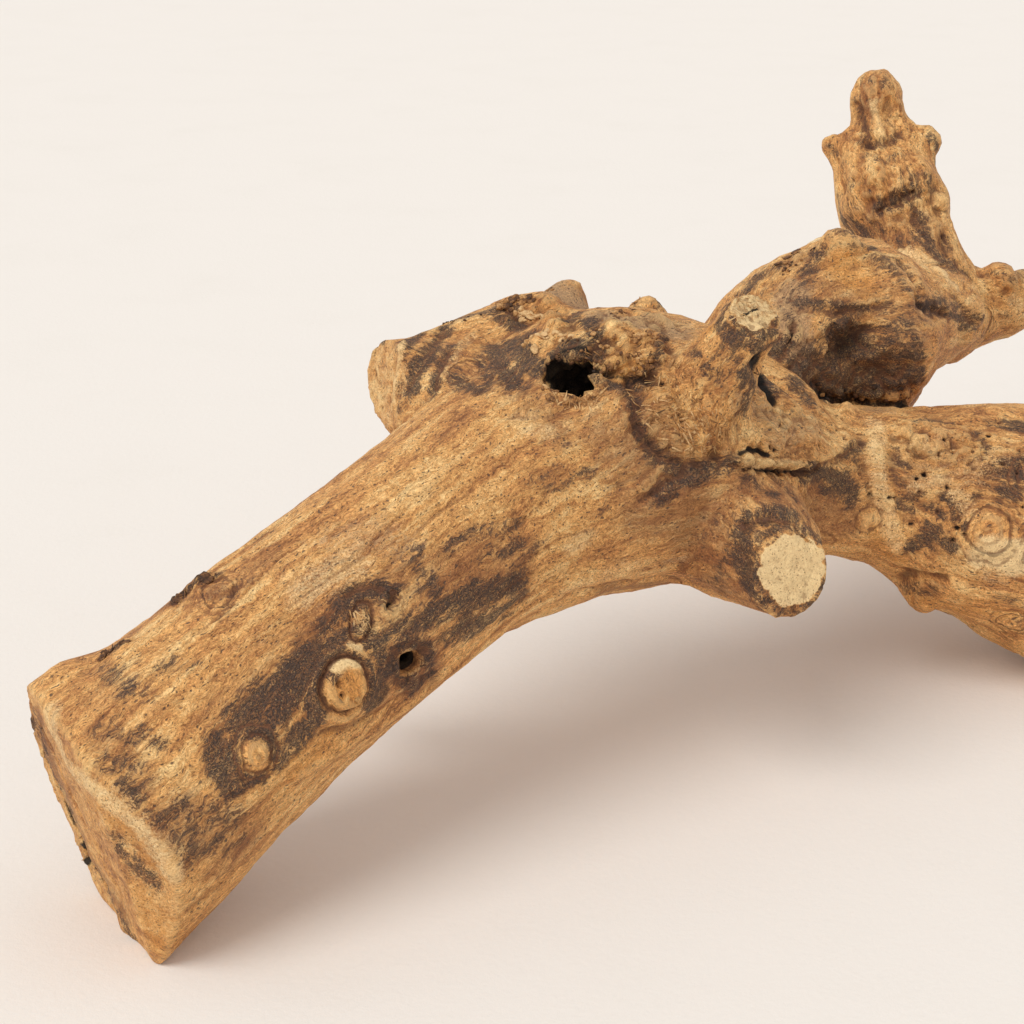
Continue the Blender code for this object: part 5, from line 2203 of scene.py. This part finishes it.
@dataclass(frozen=True)
class BitFinish:
    """Crumbs, flakes and fibres: each has its own tone, with fine dark specks."""

    name: str = "loose_wood_bits"
    pale: str = "E9C18A"
    tan: str = "B98550"
    brown: str = "6E4B32"
    char: str = "3A2D25"
    dull: float = 0.7
    shine: float = 0.25
    deep: float = 0.0003

    def material(self) -> bpy.types.Material:
        """Build the bits' nodes.

        Returns:
            The material.
        """
        board = Board(self.name)
        place = board.place()
        own = Signal(board, board.attribute("bit_tone", "Fac"))
        grit = board.noise(place, 2.2, 3.0, 0.7)
        cloud = board.noise(place, 0.7, 2.0, 0.5)
        tone = own + grit * 0.9 + cloud * 0.7
        stops = ((0.05, self.char), (0.35, self.brown), (0.60, self.tan), (0.92, self.pale))
        return board.finish(board.ramp(tone, stops), self.dull, self.shine, grit, self.deep)


@dataclass(frozen=True)
class Studio:
    """A pale floor under one broad soft light from the front left, with an even sky."""

    floor_size: float = 6.0
    floor_colour: str = "F3ECE4"
    floor_shade: str = "EEE7DE"
    floor_dull: float = 0.75
    floor_shine: float = 0.2
    floor_deep: float = 0.0008
    sky_colour: str = "FFFFFF"
    sky_power: float = 0.68
    key_colour: tuple[float, float, float] = (1.0, 0.985, 0.965)
    key_power: float = 1.42
    key_way: tuple[float, float, float] = (-0.42, -0.42, 0.80)
    key_softness: float = 38.0

    def build(self) -> None:
        """Make the floor, the light and the sky."""
        size = self.floor_size / 2
        mesh = bpy.data.meshes.new("floor")
        corners = [(-size, -size, 0), (size, -size, 0), (size, size, 0), (-size, size, 0)]
        mesh.from_pydata(corners, [], [(0, 1, 2, 3)])
        floor = add_object("floor", mesh)
        mesh.materials.append(self.floor_finish())
        data = bpy.data.lights.new("key_light", "SUN")
        data.angle = math.radians(self.key_softness)
        data.energy = self.key_power
        data.color = self.key_colour
        key = add_object("key_light", data)
        key.location = self.key_way
        key.rotation_mode = "QUATERNION"
        key.rotation_quaternion = Vector(self.key_way).to_track_quat("Z", "Y")
        world = bpy.data.worlds.new("studio_sky")
        world.use_nodes = True
        sky = world.node_tree.nodes["Background"]
        sky.inputs["Color"].default_value = hex_colour(self.sky_colour)
        sky.inputs["Strength"].default_value = self.sky_power
        bpy.context.scene.world = world
        bpy.context.scene.view_settings.view_transform = "Standard"

    def floor_finish(self) -> bpy.types.Material:
        """Build the floor's plain, faintly mottled plaster.

        Returns:
            The material.
        """
        board = Board("pale_floor")
        place = board.node("ShaderNodeTexCoord").outputs["Object"]
        cloud = board.noise(place, 26.0, 5.0, 0.62)
        grit = board.noise(place, 700.0, 3.0, 0.7)
        shade = (cloud * 0.9 + grit * 0.6).rise(-0.05, 0.40) * 0.6
        colour = board.tint(hex_colour(self.floor_colour), self.floor_shade, shade)
        height = cloud + grit * 0.35
        return board.finish(colour, self.floor_dull, self.floor_shine, height, self.floor_deep, 0.4)


def main() -> None:
    """Build the sub-assemblies in order and report each piece."""
    logging.basicConfig(level=logging.INFO, format="%(name)s: %(message)s")
    CAMERA.set_up()
    Studio().build()
    sight = Sight(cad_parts[NODE].data)
    body = RootBody(sight)
    wood, skin = body.build()
    body.dress(wood, WoodFinish())
    LOG.info("piece %s is dressed", wood.name)
    litter = Litter(sight, skin)
    bits_material = BitFinish().material()
    for kind in ChipKind:
        litter.dress(litter.build(kind), bits_material)


if __name__ == "__main__":
    main()
